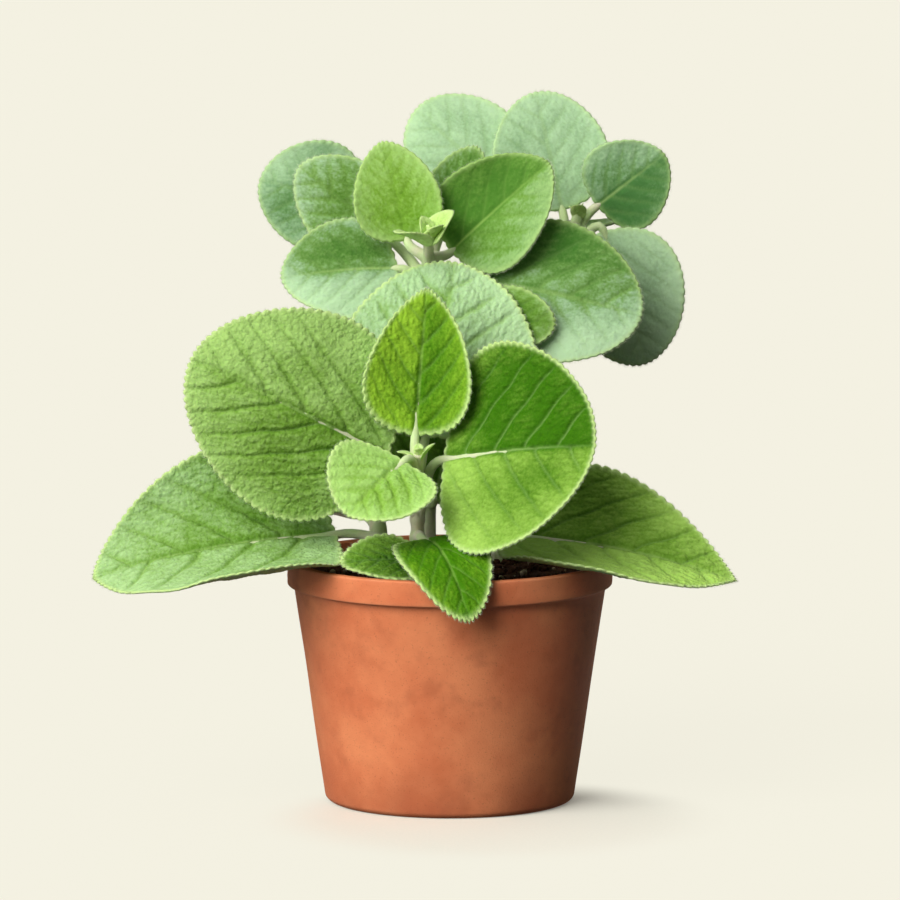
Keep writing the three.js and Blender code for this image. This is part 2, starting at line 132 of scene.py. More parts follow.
# %% Helpers for materials
MIX_SHARE, MIX_FIRST, MIX_SECOND, MIX_RESULT = 0, 6, 7, 2


class Finish:
    """A material and the few kinds of node that the finishes of this plant need."""

    def __init__(self, name):
        self.material = bpy.data.materials.new(name)
        self.material.use_nodes = True
        self.tree = self.material.node_tree
        self.shader = self.tree.nodes["Principled BSDF"]
        self.place = self.add("ShaderNodeTexCoord").outputs["Object"]

    def add(self, kind, **settings):
        node = self.tree.nodes.new(kind)
        for key, value in settings.items():
            setattr(node, key, value)
        return node

    def feed(self, socket, value):
        """Links an output to a socket, or sets the socket to a plain value."""
        if isinstance(value, bpy.types.NodeSocket):
            self.tree.links.new(value, socket)
        else:
            socket.default_value = value

    def attribute(self, name, output="Fac"):
        return self.add("ShaderNodeAttribute", attribute_name=name).outputs[output]

    def noise(self, scale, detail=3.0, roughness=0.5, where=None):
        node = self.add("ShaderNodeTexNoise")
        self.feed(node.inputs["Vector"], where or self.place)
        self.feed(node.inputs["Scale"], scale)
        self.feed(node.inputs["Detail"], detail)
        self.feed(node.inputs["Roughness"], roughness)
        return node.outputs["Fac"]

    def cells(self, scale, where=None):
        node = self.add("ShaderNodeTexVoronoi")
        self.feed(node.inputs["Vector"], where or self.place)
        self.feed(node.inputs["Scale"], scale)
        return node.outputs["Distance"]

    def shifted(self, where, scale, distance):
        """Coordinates that noise moves about, so that a pattern on them is irregular."""
        node = self.add("ShaderNodeTexNoise")
        self.feed(node.inputs["Vector"], where)
        self.feed(node.inputs["Scale"], scale)
        slide = self.add("ShaderNodeVectorMath", operation="MULTIPLY_ADD")
        self.feed(slide.inputs[0], node.outputs["Color"])
        self.feed(slide.inputs[1], (distance, distance, distance))
        self.feed(slide.inputs[2], where)
        return slide.outputs["Vector"]

    def ramp(self, value, low, high, bottom=0.0, top=1.0):
        """value stretched so that low gives bottom and high gives top, with smooth ends."""
        node = self.add("ShaderNodeMapRange", interpolation_type="SMOOTHSTEP")
        for key, number in (("Value", value), ("From Min", low), ("From Max", high),
                            ("To Min", bottom), ("To Max", top)):
            self.feed(node.inputs[key], number)
        return node.outputs["Result"]

    def maths(self, operation, first, second):
        node = self.add("ShaderNodeMath", operation=operation)
        self.feed(node.inputs[0], first)
        self.feed(node.inputs[1], second)
        return node.outputs[0]

    def mix(self, share, first, second):
        """The colour first where share is 0 and second where it is 1."""
        node = self.add("ShaderNodeMix", data_type="RGBA")
        self.feed(node.inputs[MIX_SHARE], share)
        self.feed(node.inputs[MIX_FIRST], first)
        self.feed(node.inputs[MIX_SECOND], second)
        return node.outputs[MIX_RESULT]

    def bump(self, height, strength, distance):
        node = self.add("ShaderNodeBump")
        self.feed(node.inputs["Height"], height)
        self.feed(node.inputs["Strength"], strength)
        self.feed(node.inputs["Distance"], distance)
        self.feed(self.shader.inputs["Normal"], node.outputs["Normal"])

    def set(self, **values):
        """Values or outputs for the shader's sockets, named with _ for each space."""
        for key, value in values.items():
            self.feed(self.shader.inputs[key.replace("_", " ")], value)


def colour(red, green, blue):
    """A colour as it is picked on a screen, from 0 to 255, turned into the light that the shader uses."""
    shares = (part / 255 for part in (red, green, blue))
    return (*[share / 12.92 if share <= 0.04045 else ((share + 0.055) / 1.055) ** 2.4
              for share in shares], 1)


print("a screen's middle grey is", round(colour(128, 128, 128)[0], 2), "of white as light")

# %% [markdown]
# ## Pieces
# A piece is built in millimetres, because its sizes are easier to read that way, and is brought to
# metres when it becomes an object. It then rides on the plant's one body, stands for its solid and says
# which finish it takes.

# %% Helpers for pieces
MM = 0.001


def finished(name, form, materials, stands_for=None):
    """Makes the bmesh form, in millimetres, the object name, in metres."""
    mesh = bpy.data.meshes.new(name)
    form.to_mesh(mesh)
    form.free()
    mesh.transform(Matrix.Scale(MM, 4))
    mesh.shade_smooth()
    for material in materials:
        mesh.materials.append(material)
    piece = bpy.data.objects.new(name, mesh)
    bpy.context.scene.collection.objects.link(piece)
    if stands_for:
        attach(piece, "root")
        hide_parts(stands_for)
    return piece


def size_report(piece, node):
    """Prints how far the piece's corners lie from its solid's corners, in millimetres."""
    points = np.zeros(3 * len(piece.data.vertices))
    piece.data.vertices.foreach_get("co", points)
    points = points.reshape(-1, 3)
    low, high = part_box(node)
    apart = [*(points.min(0) - np.array(low)), *(points.max(0) - np.array(high))]
    mesh = piece.data
    mesh.calc_loop_triangles()
    print(f"{node}: {len(mesh.loop_triangles)} triangles, corners off by",
          [round(1000 * gap, 1) for gap in apart])


# %% [markdown]
# ## The floor
# The plant stands on pale paper. One very large square is enough: it fills the picture to the top, so no
# edge or horizon shows. In the picture the paper is evenly bright and its shadows are faint, as when a
# sheet is lit from below too, so most of its light is its own, and the more of it the farther out: only a
# small pool of shadow is left round the pot. Light that bounces off so much paper would fill every shadow
# on the plant, so the floor is hidden from bounced light.

# %% Lay the floor
FLOOR_REACH = 40
PAPER = (0.905, 0.880, 0.760)
OWN_LIGHT = (0.22, 0.95)
POOL_CENTRE = (0.016, -0.048, 0)
SHADOW_POOL = (0.054, 0.090)
paper = Finish("paper")
far = paper.add("ShaderNodeVectorMath", operation="DISTANCE")
paper.feed(far.inputs[0], paper.place)
paper.feed(far.inputs[1], POOL_CENTRE)
own_light = paper.ramp(far.outputs["Value"], *SHADOW_POOL, *OWN_LIGHT)
lit = tuple(part / floor_light for part in PAPER)
tone = paper.mix(own_light, (*lit, 1), (0, 0, 0, 1))
grain = paper.ramp(paper.noise(900, 2), 0.35, 0.65, 0, 0.03)
paper.set(Base_Color=paper.mix(grain, tone, (0, 0, 0, 1)), Roughness=0.95, Specular_IOR_Level=0.0,
          Emission_Color=(*PAPER, 1), Emission_Strength=own_light)
form = bmesh.new()
bmesh.ops.create_grid(form, x_segments=1, y_segments=1, size=FLOOR_REACH / MM)
floor = finished("floor", form, [paper.material])
floor.visible_diffuse = False
print("floor", 2 * FLOOR_REACH, "m wide")

# %% [markdown]
# ## Unglazed clay
# The pot is thrown or pressed from red clay and fired without a glaze. Its colour wanders a little
# between orange and brown, its skin has fine pores and faint wheel lines, and the worn edges are paler.
# All of that is noise on the object's own coordinates, so no picture is needed and no seam shows.

# %% Finish for the clay
clay = Finish("clay")
clouds = clay.noise(28, 4, 0.6)
blotches = clay.noise(75, 3, 0.55)
pores = clay.noise(1500, 2, 0.6)
tone = clay.mix(clay.ramp(clouds, 0.32, 0.68), colour(222, 122, 78), colour(244, 150, 100))
tone = clay.mix(clay.ramp(blotches, 0.50, 0.78, 0, 0.45), tone, colour(190, 100, 66))
tone = clay.mix(clay.ramp(pores, 0.58, 0.75, 0, 0.35), tone, colour(150, 78, 52))
tone = clay.mix(clay.maths("MULTIPLY", clay.attribute("worn"), 0.5), tone, colour(246, 184, 142))
damp = clay.attribute("damp")
tone = clay.mix(clay.maths("MULTIPLY", damp, 0.55), tone, colour(150, 82, 56))
clay.set(Base_Color=tone, Roughness=clay.ramp(clouds, 0.3, 0.7, 0.72, 0.86), Specular_IOR_Level=0.12)
clay.bump(clay.maths("ADD", clay.maths("MULTIPLY", clay.noise(420, 4, 0.6), 0.7), pores), 0.28, 0.0004)
print("clay:", len(clay.tree.nodes), "nodes")

# %% [markdown]
# ## The pot
# A pot like this is a body of revolution, so it is drawn as half an outline and spun. The outline
# follows the solid's sizes, with every edge rounded, and has the raised band under the rim. Its long
# lines are divided, so that the wall has points to move when the clay is worked. The drain holes are cut
# with a Boolean modifier and three plain cutters.

# %% Spin the pot
POT_HEIGHT = 90.0
RIM_RADIUS = 60.0
RIM_BAND = 9.5
BAND_STEP = 2.4
FOOT_RADIUS = 46.2
WALL = 3.9
POT_FLOOR = 6.0
EDGE = 0.8
INNER_CORNER = 2.0
INNER_FLARE = 0.4
ROUND_STEPS = 3
SPIN_STEPS = 160
SAME_PLACE = 0.01

band_foot = POT_HEIGHT - RIM_BAND
POT_OUTLINE = [
    (0, 0),
    (FOOT_RADIUS - 2 * EDGE, 0),
    (FOOT_RADIUS, 2 * EDGE),
    (RIM_RADIUS - BAND_STEP, band_foot),
    (RIM_RADIUS, band_foot),
    (RIM_RADIUS, POT_HEIGHT),
    (RIM_RADIUS - WALL, POT_HEIGHT),
    (FOOT_RADIUS - WALL + INNER_FLARE, POT_FLOOR + INNER_CORNER),
    (FOOT_RADIUS - WALL - INNER_CORNER, POT_FLOOR),
    (0, POT_FLOOR),
]
form = bmesh.new()
outline = [form.verts.new((radius, 0, height)) for radius, height in POT_OUTLINE]
for pair in zip(outline, outline[1:]):
    form.edges.new(pair)
bmesh.ops.bevel(form, geom=outline[1:-1], offset=EDGE, offset_type="OFFSET", segments=ROUND_STEPS,
                profile=0.5, affect="VERTICES", material=-1)
for shortest, cuts in ((20, 24), (4, 5)):
    plain = [edge for edge in form.edges if edge.calc_length() > shortest]
    bmesh.ops.subdivide_edges(form, edges=plain, cuts=cuts)
bmesh.ops.spin(form, geom=form.verts[:] + form.edges[:], cent=(0, 0, 0), axis=(0, 0, 1),
               angle=2 * math.pi, steps=SPIN_STEPS, use_merge=True)
bmesh.ops.remove_doubles(form, verts=form.verts, dist=SAME_PLACE)
bmesh.ops.recalc_face_normals(form, faces=form.faces)
pot = finished("clay_pot", form, [clay.material], "pot")
print("spun pot:", len(pot.data.vertices), "points")

# %% Cut the drain holes
DRAIN_HOLES = 3
DRAIN_RADIUS = 6.5
DRAIN_CIRCLE = 24.0
DRAIN_SIDES = 32
form = bmesh.new()
for hole in range(DRAIN_HOLES):
    turn = 2 * math.pi * hole / DRAIN_HOLES + math.pi / 2
    centre = Vector((DRAIN_CIRCLE * math.cos(turn), DRAIN_CIRCLE * math.sin(turn), 0))
    bmesh.ops.create_cone(form, cap_ends=True, segments=DRAIN_SIDES, radius1=DRAIN_RADIUS,
                          radius2=DRAIN_RADIUS, depth=3 * POT_FLOOR, matrix=Matrix.Translation(centre))
cutter = finished("drain_cutter", form, [clay.material])
cut = pot.modifiers.new("drain_holes", "BOOLEAN")
cut.object = cutter
cut.solver = "EXACT"
bpy.context.view_layer.update()
holed = bpy.data.meshes.new_from_object(pot.evaluated_get(bpy.context.evaluated_depsgraph_get()))
pot.modifiers.clear()
pot.data = holed
bpy.data.objects.remove(cutter)
print("pot with", DRAIN_HOLES, "drain holes:", len(pot.data.vertices), "points")

# %% [markdown]
# A hand leaves its marks on clay. The wall is moved in and out by a few tenths of a millimetre, with
# shallow wheel lines round it, and each point stores how worn and how damp it is for the finish.

# %% Work the clay
WALL_WANDER = 0.25
WHEEL_LINE = 0.05
WHEEL_WAVES = 1.9
FLAT_FOOT = 1.4 * DRAIN_CIRCLE
BLUNT_EDGE = 0.15
DAMP_HEIGHTS = (14, 12)
shape = bmesh.new()
shape.from_mesh(pot.data)
worn = shape.verts.layers.float.new("worn")
damp = shape.verts.layers.float.new("damp")
for point in shape.verts:
    x, y, z = point.co / MM
    out = Vector((x, y, 0))
    if out.length > FLAT_FOOT:
        out.normalize()
        wander = noise.noise(point.co * 30) * WALL_WANDER
        wheel = math.sin(z * WHEEL_WAVES + 2 * noise.noise(point.co * 20)) * WHEEL_LINE
        point.co += out * (wander + wheel) * MM
    sharp = max((edge.calc_face_angle(0) for edge in point.link_edges), default=0)
    point[worn] = min(1, max(0, sharp - BLUNT_EDGE) * 1.6) * (0.5 + 0.5 * noise.noise(point.co * 160))
    seep = 0.5 + 0.5 * noise.noise(Vector((x, y, 0)) * 0.04) + 0.3 * noise.noise(Vector((x, y, z)) * 0.09)
    point[damp] = min(1, max(0, 1 - z / (DAMP_HEIGHTS[0] + DAMP_HEIGHTS[1] * seep))) * seep
shape.to_mesh(pot.data)
shape.free()
pot.data.shade_smooth()
size_report(pot, "pot")

# %% [markdown]
# ## Potting soil
# Fresh potting soil is dark, crumbly and never flat: it is full of lumps, bits of bark and pale grains.
# A sheet alone would look like mud, so the soil is a closed lumpy body, and several hundred crumbs of five
# sizes are strewn over it. Each crumb is a coarse ball with its corners moved.

# %% Finish for the soil
soil_finish = Finish("soil")
crumbs = soil_finish.noise(260, 5, 0.7)
grains = soil_finish.cells(700)
tone = soil_finish.mix(soil_finish.ramp(crumbs, 0.3, 0.7), colour(42, 26, 18), colour(96, 62, 42))
tone = soil_finish.mix(soil_finish.ramp(grains, 0.16, 0.06, 0, 0.7), tone, colour(150, 118, 90))
soil_finish.set(Base_Color=tone, Roughness=0.95, Specular_IOR_Level=0.15)
soil_finish.bump(soil_finish.maths("ADD", crumbs, soil_finish.noise(900, 3)), 0.7, 0.0012)

grit_finish = Finish("pale_grit")
grit_finish.set(Base_Color=grit_finish.mix(grit_finish.noise(500, 2), colour(206, 190, 160),
                                           colour(150, 126, 98)), Roughness=0.9)
grit_finish.bump(grit_finish.noise(1800, 3), 0.4, 0.0004)
print("soil:", len(soil_finish.tree.nodes), "nodes, grit:", len(grit_finish.tree.nodes))

# %% Fill the pot with soil
SOIL_BELOW_RIM = 6.0
LUMP = 0.9
CLOD = 1.1
SOIL_CLEARANCE = 0.6
FLOOR_CLEARANCE = 0.4
SOIL_SIDES = 96
SOIL_RINGS = 30
CRUMBS = 620
CRUMB_SIZES = (0.5, 0.7, 0.9, 1.2, 1.7)
CRUMB_LIFT = 0.35
RIM_MARGIN = 2.5
PALE_CRUMBS = 0.09
soil_top = POT_HEIGHT - SOIL_BELOW_RIM
soil_foot = POT_FLOOR + FLOOR_CLEARANCE


def inner_radius(height):
    """The pot's inner radius at a height, in millimetres."""
    rise = (height - POT_FLOOR) / (POT_HEIGHT - POT_FLOOR)
    return FOOT_RADIUS - WALL + rise * (RIM_RADIUS - FOOT_RADIUS)


def soil_height(x, y):
    """The top of the soil: broad lumps, then clods of smaller and smaller sizes."""
    lumps = math.sin(0.21 * x + 1.3) * math.cos(0.17 * y) + 0.6 * math.sin(0.33 * y - 0.19 * x)
    place = Vector((x, y, 3.0))
    clods = CLOD * noise.fractal(place * 0.22, 1.0, 2.0, 4)
    return soil_top + LUMP * lumps + clods


form = bmesh.new()
top_radius = inner_radius(soil_top) - SOIL_CLEARANCE
bmesh.ops.create_cone(form, cap_ends=True, cap_tris=False, segments=SOIL_SIDES,
                      radius1=inner_radius(POT_FLOOR) - 1, radius2=top_radius, depth=soil_top - soil_foot)
lid = max(form.faces, key=lambda face: face.calc_center_median().z)
for ring in range(SOIL_RINGS):
    bmesh.ops.inset_region(form, faces=[lid], thickness=top_radius / (SOIL_RINGS + 1), use_even_offset=True)
bmesh.ops.poke(form, faces=[lid])
bmesh.ops.translate(form, verts=form.verts, vec=(0, 0, (soil_top + soil_foot) / 2))
for point in form.verts:
    if point.co.z > soil_top - 1:
        point.co.z = soil_height(point.co.x, point.co.y)
rng = random.Random(7)
for crumb in range(CRUMBS):
    spread = math.sqrt(rng.random()) * (top_radius - RIM_MARGIN)
    turn = rng.uniform(0, 2 * math.pi)
    x, y = spread * math.cos(turn), spread * math.sin(turn)
    size = rng.choice(CRUMB_SIZES)
    middle = Vector((x, y, soil_height(x, y) + size * CRUMB_LIFT))
    roll = Matrix.Rotation(rng.uniform(0, math.pi), 4, (rng.random(), rng.random(), 1))
    ball = bmesh.ops.create_icosphere(form, subdivisions=1, radius=size,
                                      matrix=Matrix.Translation(middle) @ roll)
    pale = rng.random() < PALE_CRUMBS
    for point in ball["verts"]:
        point.co = middle + (point.co - middle) * rng.uniform(0.65, 1.15)
        for face in point.link_faces:
            face.material_index = int(pale)
soil = finished("potting_soil", form, [soil_finish.material, grit_finish.material], "soil")
size_report(soil, "soil")

# %% [markdown]
# ## A leaf's shape
# A leaf of this herb is thick, round and a little hollow, with a scalloped margin. It could be sculpted,
# but 32 leaves and their tiny siblings at the stem tips are the same plant part in other sizes, so one
# formula serves them all: a midrib that arches from the leaf's foot to its tip, two halves that curl up
# from it, and an outline that is nearly an ellipse. The solid model follows the same formula. Three
# further values are for looks: how far the side veins sweep forward, how crisp the relief is, and over
# how many millimetres the colours of the two halves, which hold painted light and shade, pass into each
# other at the midrib.

# %% The formula of a leaf
OUTLINE_ROUNDNESS = 0.92
OUTLINE_EGG = 0.14
TOOTH_PITCH = 3.2
TOOTH_DEPTH = 1.00
TOOTH_ROOT = 0.80
TINY_HALF = 8.0
VEIN_SWEEP = 0.55
SHARP_FOLD = 4.0


def unit(vector):
    return vector / np.linalg.norm(vector)


class Leaf:
    """A leaf's bent middle surface, in millimetres. x runs along the midrib, y to the left of it."""

    def __init__(self, foot, tip, face, width, bend, cup, point,
                 sweep=VEIN_SWEEP, crisp=1.0, fold=SHARP_FOLD):
        self.foot, tip, face = (np.array(place, float) for place in (foot, tip, face))
        chord = np.linalg.norm(tip - self.foot)
        self.along = unit(tip - self.foot)
        self.face = unit(face - self.along * (face @ self.along))
        self.across = np.cross(self.face, self.along)
        self.bend = math.radians(bend)
        self.bow = chord / (2 * math.sin(self.bend / 2))
        self.length = self.bow * self.bend
        self.half = width / 2
        self.curls = [math.radians(side) / self.half for side in cup]
        self.point = point
        self.sweep = sweep
        self.crisp = crisp
        self.fold = fold
        self.widest = max(self.outline(np.linspace(0.05, math.pi - 0.05, 60)))

    def outline(self, turn):
        """The half width at an angle, from 0 at the foot to pi at the tip, before it is scaled."""
        return (np.sin(turn) ** OUTLINE_ROUNDNESS * (1 + OUTLINE_EGG * np.cos(turn))
                * np.cos(turn / 2) ** self.point)

    def at(self, x, y):
        """The points at x and y, and the direction out of the upper side there."""
        x, y = np.atleast_1d(x)[:, None], np.atleast_1d(y)[:, None]
        turn = self.bend * (0.5 - x / self.length)
        points = (self.foot + self.along * self.bow * (math.sin(self.bend / 2) - np.sin(turn))
                  + self.face * self.bow * (np.cos(turn) - math.cos(self.bend / 2)))
        up = self.face * np.cos(turn) - self.along * np.sin(turn)
        curl = np.where(y > 0, self.curls[1], self.curls[0])
        swing = curl * np.abs(y)
        side = np.sign(y)
        points = points + self.across * side * np.sin(swing) / curl + up * (1 - np.cos(swing)) / curl
        return points, up * np.cos(swing) - self.across * side * np.sin(swing)

    def teeth(self):
        """How many scallops each margin has: their pitch is the same on every leaf."""
        return max(7, round(math.pi / 4 * (self.length + 2 * self.half) / TOOTH_PITCH))

    def spread(self, across, up):
        """Places of a disc of radius 1, with the foot at across -1, laid on the leaf: x and y."""
        reach = np.hypot(across, up)
        level = np.clip(across, -0.9999, 0.9999)
        turn = np.arccos(-level)
        ease = (1 + OUTLINE_EGG * np.cos(turn)) * np.cos(turn / 2) ** self.point
        ease = ease * np.maximum(np.sin(turn), 0.05) ** (OUTLINE_ROUNDNESS - 1) / self.widest
        angle = np.arctan2(np.abs(up), -across)
        beat = np.abs(np.sin((self.teeth() + 0.5) * angle)) ** 0.7
        fade = np.clip((reach - TOOTH_ROOT) / (1 - TOOTH_ROOT), 0, 1) ** 2
        depth = TOOTH_DEPTH * (0.3 + 0.7 * self.crisp) * (self.half > TINY_HALF)
        cut = 1 - depth / self.half * (1 - beat) * fade
        return self.length * (1 + across * cut) / 2, self.half * up * ease * cut, reach, beat


trial = Leaf((0, 0, 0), (80, 0, 0), (0, 0, 1), 76, 28, (10, 10), 0.1)
print("a full-grown leaf has", 2 * trial.teeth(), "scallops")

# %% [markdown]
# ## The skin of a leaf
# Seen close, the leaf is quilted: the midrib and about five pairs of side veins are sunk, a net of finer
# veins joins them, and the skin between swells up. The side veins leave the midrib at half a right angle
# and bend towards the tip, and none is quite straight. That relief catches the light, so it is real
# geometry: each point of a fine sheet is raised or lowered by how far it lies from the nearest vein.
# On farther leaves the relief is weaker and the drawn veins are broader and fainter, as they look from
# there. Only the velvet and the finest wrinkles are left to a bump.

# %% The relief of a leaf
GROWN_HALF = 24
SIDE_VEINS = 4.8
VEIN_STARTS = (0.5, 0.85)
VEIN_CURVE = 1.2
VEIN_SLANT = 0.7
VEIN_WIDTH = 0.60
VEIN_SINK = 0.90
VEIN_WAVER = 0.03
TROUGH_WIDTH = 2.4
MIDRIB_WIDTH = 1.3
MIDRIB_LINE = 0.50
MIDRIB_TROUGH = 2.2
MIDRIB_SINK = 1.15
QUILT_SIZE = 3.4
QUILT_RISE = 0.62
FINE_QUILT = 0.20
FINE_SIZE = 0.42
WALL_SLOPE = 0.45


def walls(places, size, seed):
    """0 on the walls of a net of cells, rising to 1 inside each cell."""
    made = np.empty(len(places))
    for index, (x, y) in enumerate((places / size).tolist()):
        near = noise.voronoi((x, y, seed))[0]
        made[index] = near[1] - near[0]
    return np.clip(made / WALL_SLOPE, 0, 1)


def relief(leaf, x, y, reach, seed):
    """How far each point rises, and how much it is a vein, a trough and a dome, from 0 to 1; the finish
    paints shade into the troughs and between the domes.
    """
    share = x / leaf.length
    sideways = np.abs(y) / leaf.half
    scale = min(1, leaf.half / GROWN_HALF)
    waver = np.sin(0.23 * x + 0.27 * y + seed) + 0.3 * np.sin(0.83 * y - 0.37 * x + 2 * seed)
    start = share - leaf.sweep * sideways ** VEIN_CURVE
    wave = start * SIDE_VEINS + np.where(y > 0, VEIN_STARTS[1], VEIN_STARTS[0]) + VEIN_WAVER * waver
    gap = np.abs(wave - np.floor(wave) - 0.5) * leaf.length / SIDE_VEINS * VEIN_SLANT
    fade_out = np.clip((1 - reach) * 6, 0, 1)
    strength = (1 - 0.5 * sideways) * fade_out * np.clip((start + 0.14) / 0.08, 0, 1)
    side_vein = np.exp(-(gap / (VEIN_WIDTH * scale)) ** 2) * strength
    side_line = np.exp(-(gap / (VEIN_WIDTH * (1.3 - 0.7 * leaf.crisp))) ** 2) * strength
    trough = np.exp(-(gap / (TROUGH_WIDTH * VEIN_WIDTH * scale)) ** 2) * strength
    midrib = np.exp(-(y / (MIDRIB_WIDTH * scale)) ** 2) * np.clip(1.25 - share, 0, 1)
    line = np.exp(-(y / (MIDRIB_LINE * scale)) ** 2) * np.clip(1.3 - 1.2 * share, 0, 1)
    quilt = QUILT_SIZE * (0.5 + 0.5 * scale)
    net = np.column_stack((start * leaf.length * 0.62 + 0.5 * waver, y * 1.25))
    coarse = walls(net, quilt, seed)
    fine = walls(net, quilt * FINE_SIZE, seed + 5)
    dome = np.sqrt(coarse) * (1 - np.maximum(side_vein, midrib))
    rise = (QUILT_RISE * (dome - 0.55) + FINE_QUILT * (fine - 0.5)) * fade_out * scale * leaf.crisp
    rise -= (VEIN_SINK * (0.4 * side_vein + 0.6 * trough) + MIDRIB_SINK * midrib) * scale * leaf.crisp
    # Where shade is painted: the troughs of the side veins and of the midrib.
    groove_shade = np.maximum(trough, np.exp(-(y / (MIDRIB_TROUGH * scale)) ** 2))
    line = np.maximum((0.15 + 0.30 * leaf.crisp) * side_line, line)
    return rise, line, groove_shade, dome * (0.7 + 0.3 * fine)


across_veins = np.linspace(0, trial.length, 400)
rise, _, _, _ = relief(trial, across_veins, np.full(400, trial.half / 3), np.zeros(400), 1)
print("its relief goes from", round(rise.min(), 2), "to", round(rise.max(), 2), "mm")

# %% [markdown]
# ## The sheet of a leaf
# The blade starts as a square grid. A copy of it is turned over for the underside, and the two borders
# are bridged, with one ring of points between them for a rounded margin. That closed slab is then
# mapped: the square goes to a disc, the disc to the leaf, and the leaf takes its bend and relief. NumPy
# moves the thousands of points at once. What the finish must know of a point, such as whether it lies in
# a vein or near the margin, is stored on the mesh as attributes.

# %% Shape a blade
BLADE_MIDDLE = 1.8
BLADE_EDGE = 0.9
UNDER_SHARE = 0.75
MARGIN_SWELL = 0.28
MARGIN_WIDTH = 1.15
PUCKER = 0.30


def slab(cells):
    """A closed square slab: upper points at z 1, lower ones at -1 and the margin's middle at 0."""
    form = bmesh.new()
    bmesh.ops.create_grid(form, x_segments=cells, y_segments=cells, size=1)
    bmesh.ops.translate(form, verts=form.verts, vec=(0, 0, 1))
    whole = form.verts[:] + form.edges[:] + form.faces[:]
    lower = bmesh.ops.duplicate(form, geom=whole)["geom"]
    lower_points = [item for item in lower if isinstance(item, bmesh.types.BMVert)]
    bmesh.ops.translate(form, verts=lower_points, vec=(0, 0, -2))
    bmesh.ops.reverse_faces(form, faces=[item for item in lower if isinstance(item, bmesh.types.BMFace)])
    bmesh.ops.bridge_loops(form, edges=[edge for edge in form.edges if edge.is_boundary])
    rungs = [edge for edge in form.edges if abs(edge.verts[0].co.z - edge.verts[1].co.z) > 1]
    bmesh.ops.subdivide_edges(form, edges=rungs, cuts=1)
    return form


def lay(leaf, across, up, layer, seed, wander):
    """The points of a blade, the way out of its upper side, and what its finish reads at each point."""
    x, y, reach, beat = leaf.spread(across, up)
    rise, vein, groove_shade, dome = relief(leaf, x, y, reach, seed)
    thick = (BLADE_MIDDLE + (BLADE_EDGE - BLADE_MIDDLE) * reach ** 2) * min(1, 0.3 + leaf.half / 16)
    phase = seed * 1.7
    sway = np.sin(x * 0.19 + phase) * np.cos(y * 0.16 + 2 * phase)
    sway = sway + 0.6 * np.sin(0.27 * y - 0.11 * x + phase)
    rim = np.clip((reach - 0.90) / 0.10, 0, 1) * (leaf.half > TINY_HALF)
    height = layer * thick / 2 + rise * np.where(layer < 0, UNDER_SHARE, 1)
    height += sway * wander * (0.25 + 0.75 * reach ** 2) + PUCKER * (beat - 0.5) * rim
    swell = MARGIN_SWELL * (np.abs(layer) < 0.5)
    points, out = leaf.at(x + swell * across, y + swell * up)
    marks = {
        "vein": vein,
        "groove_shade": groove_shade * leaf.crisp,
        "dome": dome,
        "margin": np.exp(-((1 - reach) * leaf.half / MARGIN_WIDTH) ** 2),
        "outwards": reach ** 2,
        "under": (layer < -0.5).astype(float),
        "left_half": np.clip(0.5 + y / leaf.fold, 0, 1),
        "towards_tip": x / leaf.length,
    }
    flat = np.column_stack((x, y, np.full_like(x, 10.0 * seed))) * MM
    return points + out * height[:, None], out, marks, flat


def blade(leaf, spacing, seed, wander, pale, dusty):
    """The blade's mesh in millimetres. pale is for its right half, its left half and towards its tip:
    painted light and shade over the leaf's own green.
    """
    form = slab(max(8, round(math.sqrt(leaf.length * 2 * leaf.half) / spacing)))
    mesh = bpy.data.meshes.new("blade")
    form.to_mesh(mesh)
    form.free()
    places = np.zeros(3 * len(mesh.vertices))
    mesh.vertices.foreach_get("co", places)
    u, v, layer = places.reshape(-1, 3).T
    across, up = u * np.sqrt(1 - v * v / 2), v * np.sqrt(1 - u * u / 2)
    points, _, marks, flat = lay(leaf, across, up, layer, seed, wander)
    mesh.vertices.foreach_set("co", points.ravel())
    right, left, tip = pale
    # pale: painted light and shade on each half and towards the tip, laid over the leaf's own green.
    marks["pale"] = right + (left - right) * marks.pop("left_half") + tip * (marks.pop("towards_tip") - 0.5)
    marks["dusty"] = np.full(len(u), float(dusty))
    marks["crisp"] = np.full(len(u), float(leaf.crisp))
    for name, values in marks.items():
        mesh.attributes.new(name, "FLOAT", "POINT").data.foreach_set("value", values.astype(np.float32))
    mesh.attributes.new("flat", "FLOAT_VECTOR", "POINT").data.foreach_set(
        "vector", flat.ravel().astype(np.float32))
    return mesh


sample = blade(trial, 2.0, 1.0, 0.0, (0.5, 0.5, 0), 0)
print("a coarse blade has", len(sample.vertices), "points and", len(sample.attributes), "attributes")
bpy.data.meshes.remove(sample)

# %% [markdown]
# ## Stalks and stems
# Both are soft round bars that bend. A cylinder is cut into rings, and each ring is laid across a smooth
# curve at its own place and radius. The curve runs through named points, like a garden hose led past
# pegs. The stem is a little thicker at the joints where its pairs of leaves grow. Every piece of the
# plant takes its finishes in one order: the blade's first, then the stalk's, then the hairs'.

# %% Lay a bar along a curve
STALK, HAIR = 1, 2
FINE_STEPS = 24
ASLANT = (0.3, 1.0, 0.2)


def between(first, second, low, high, time):
    return (first * (high - time) + second * (time - low)) / (high - low)


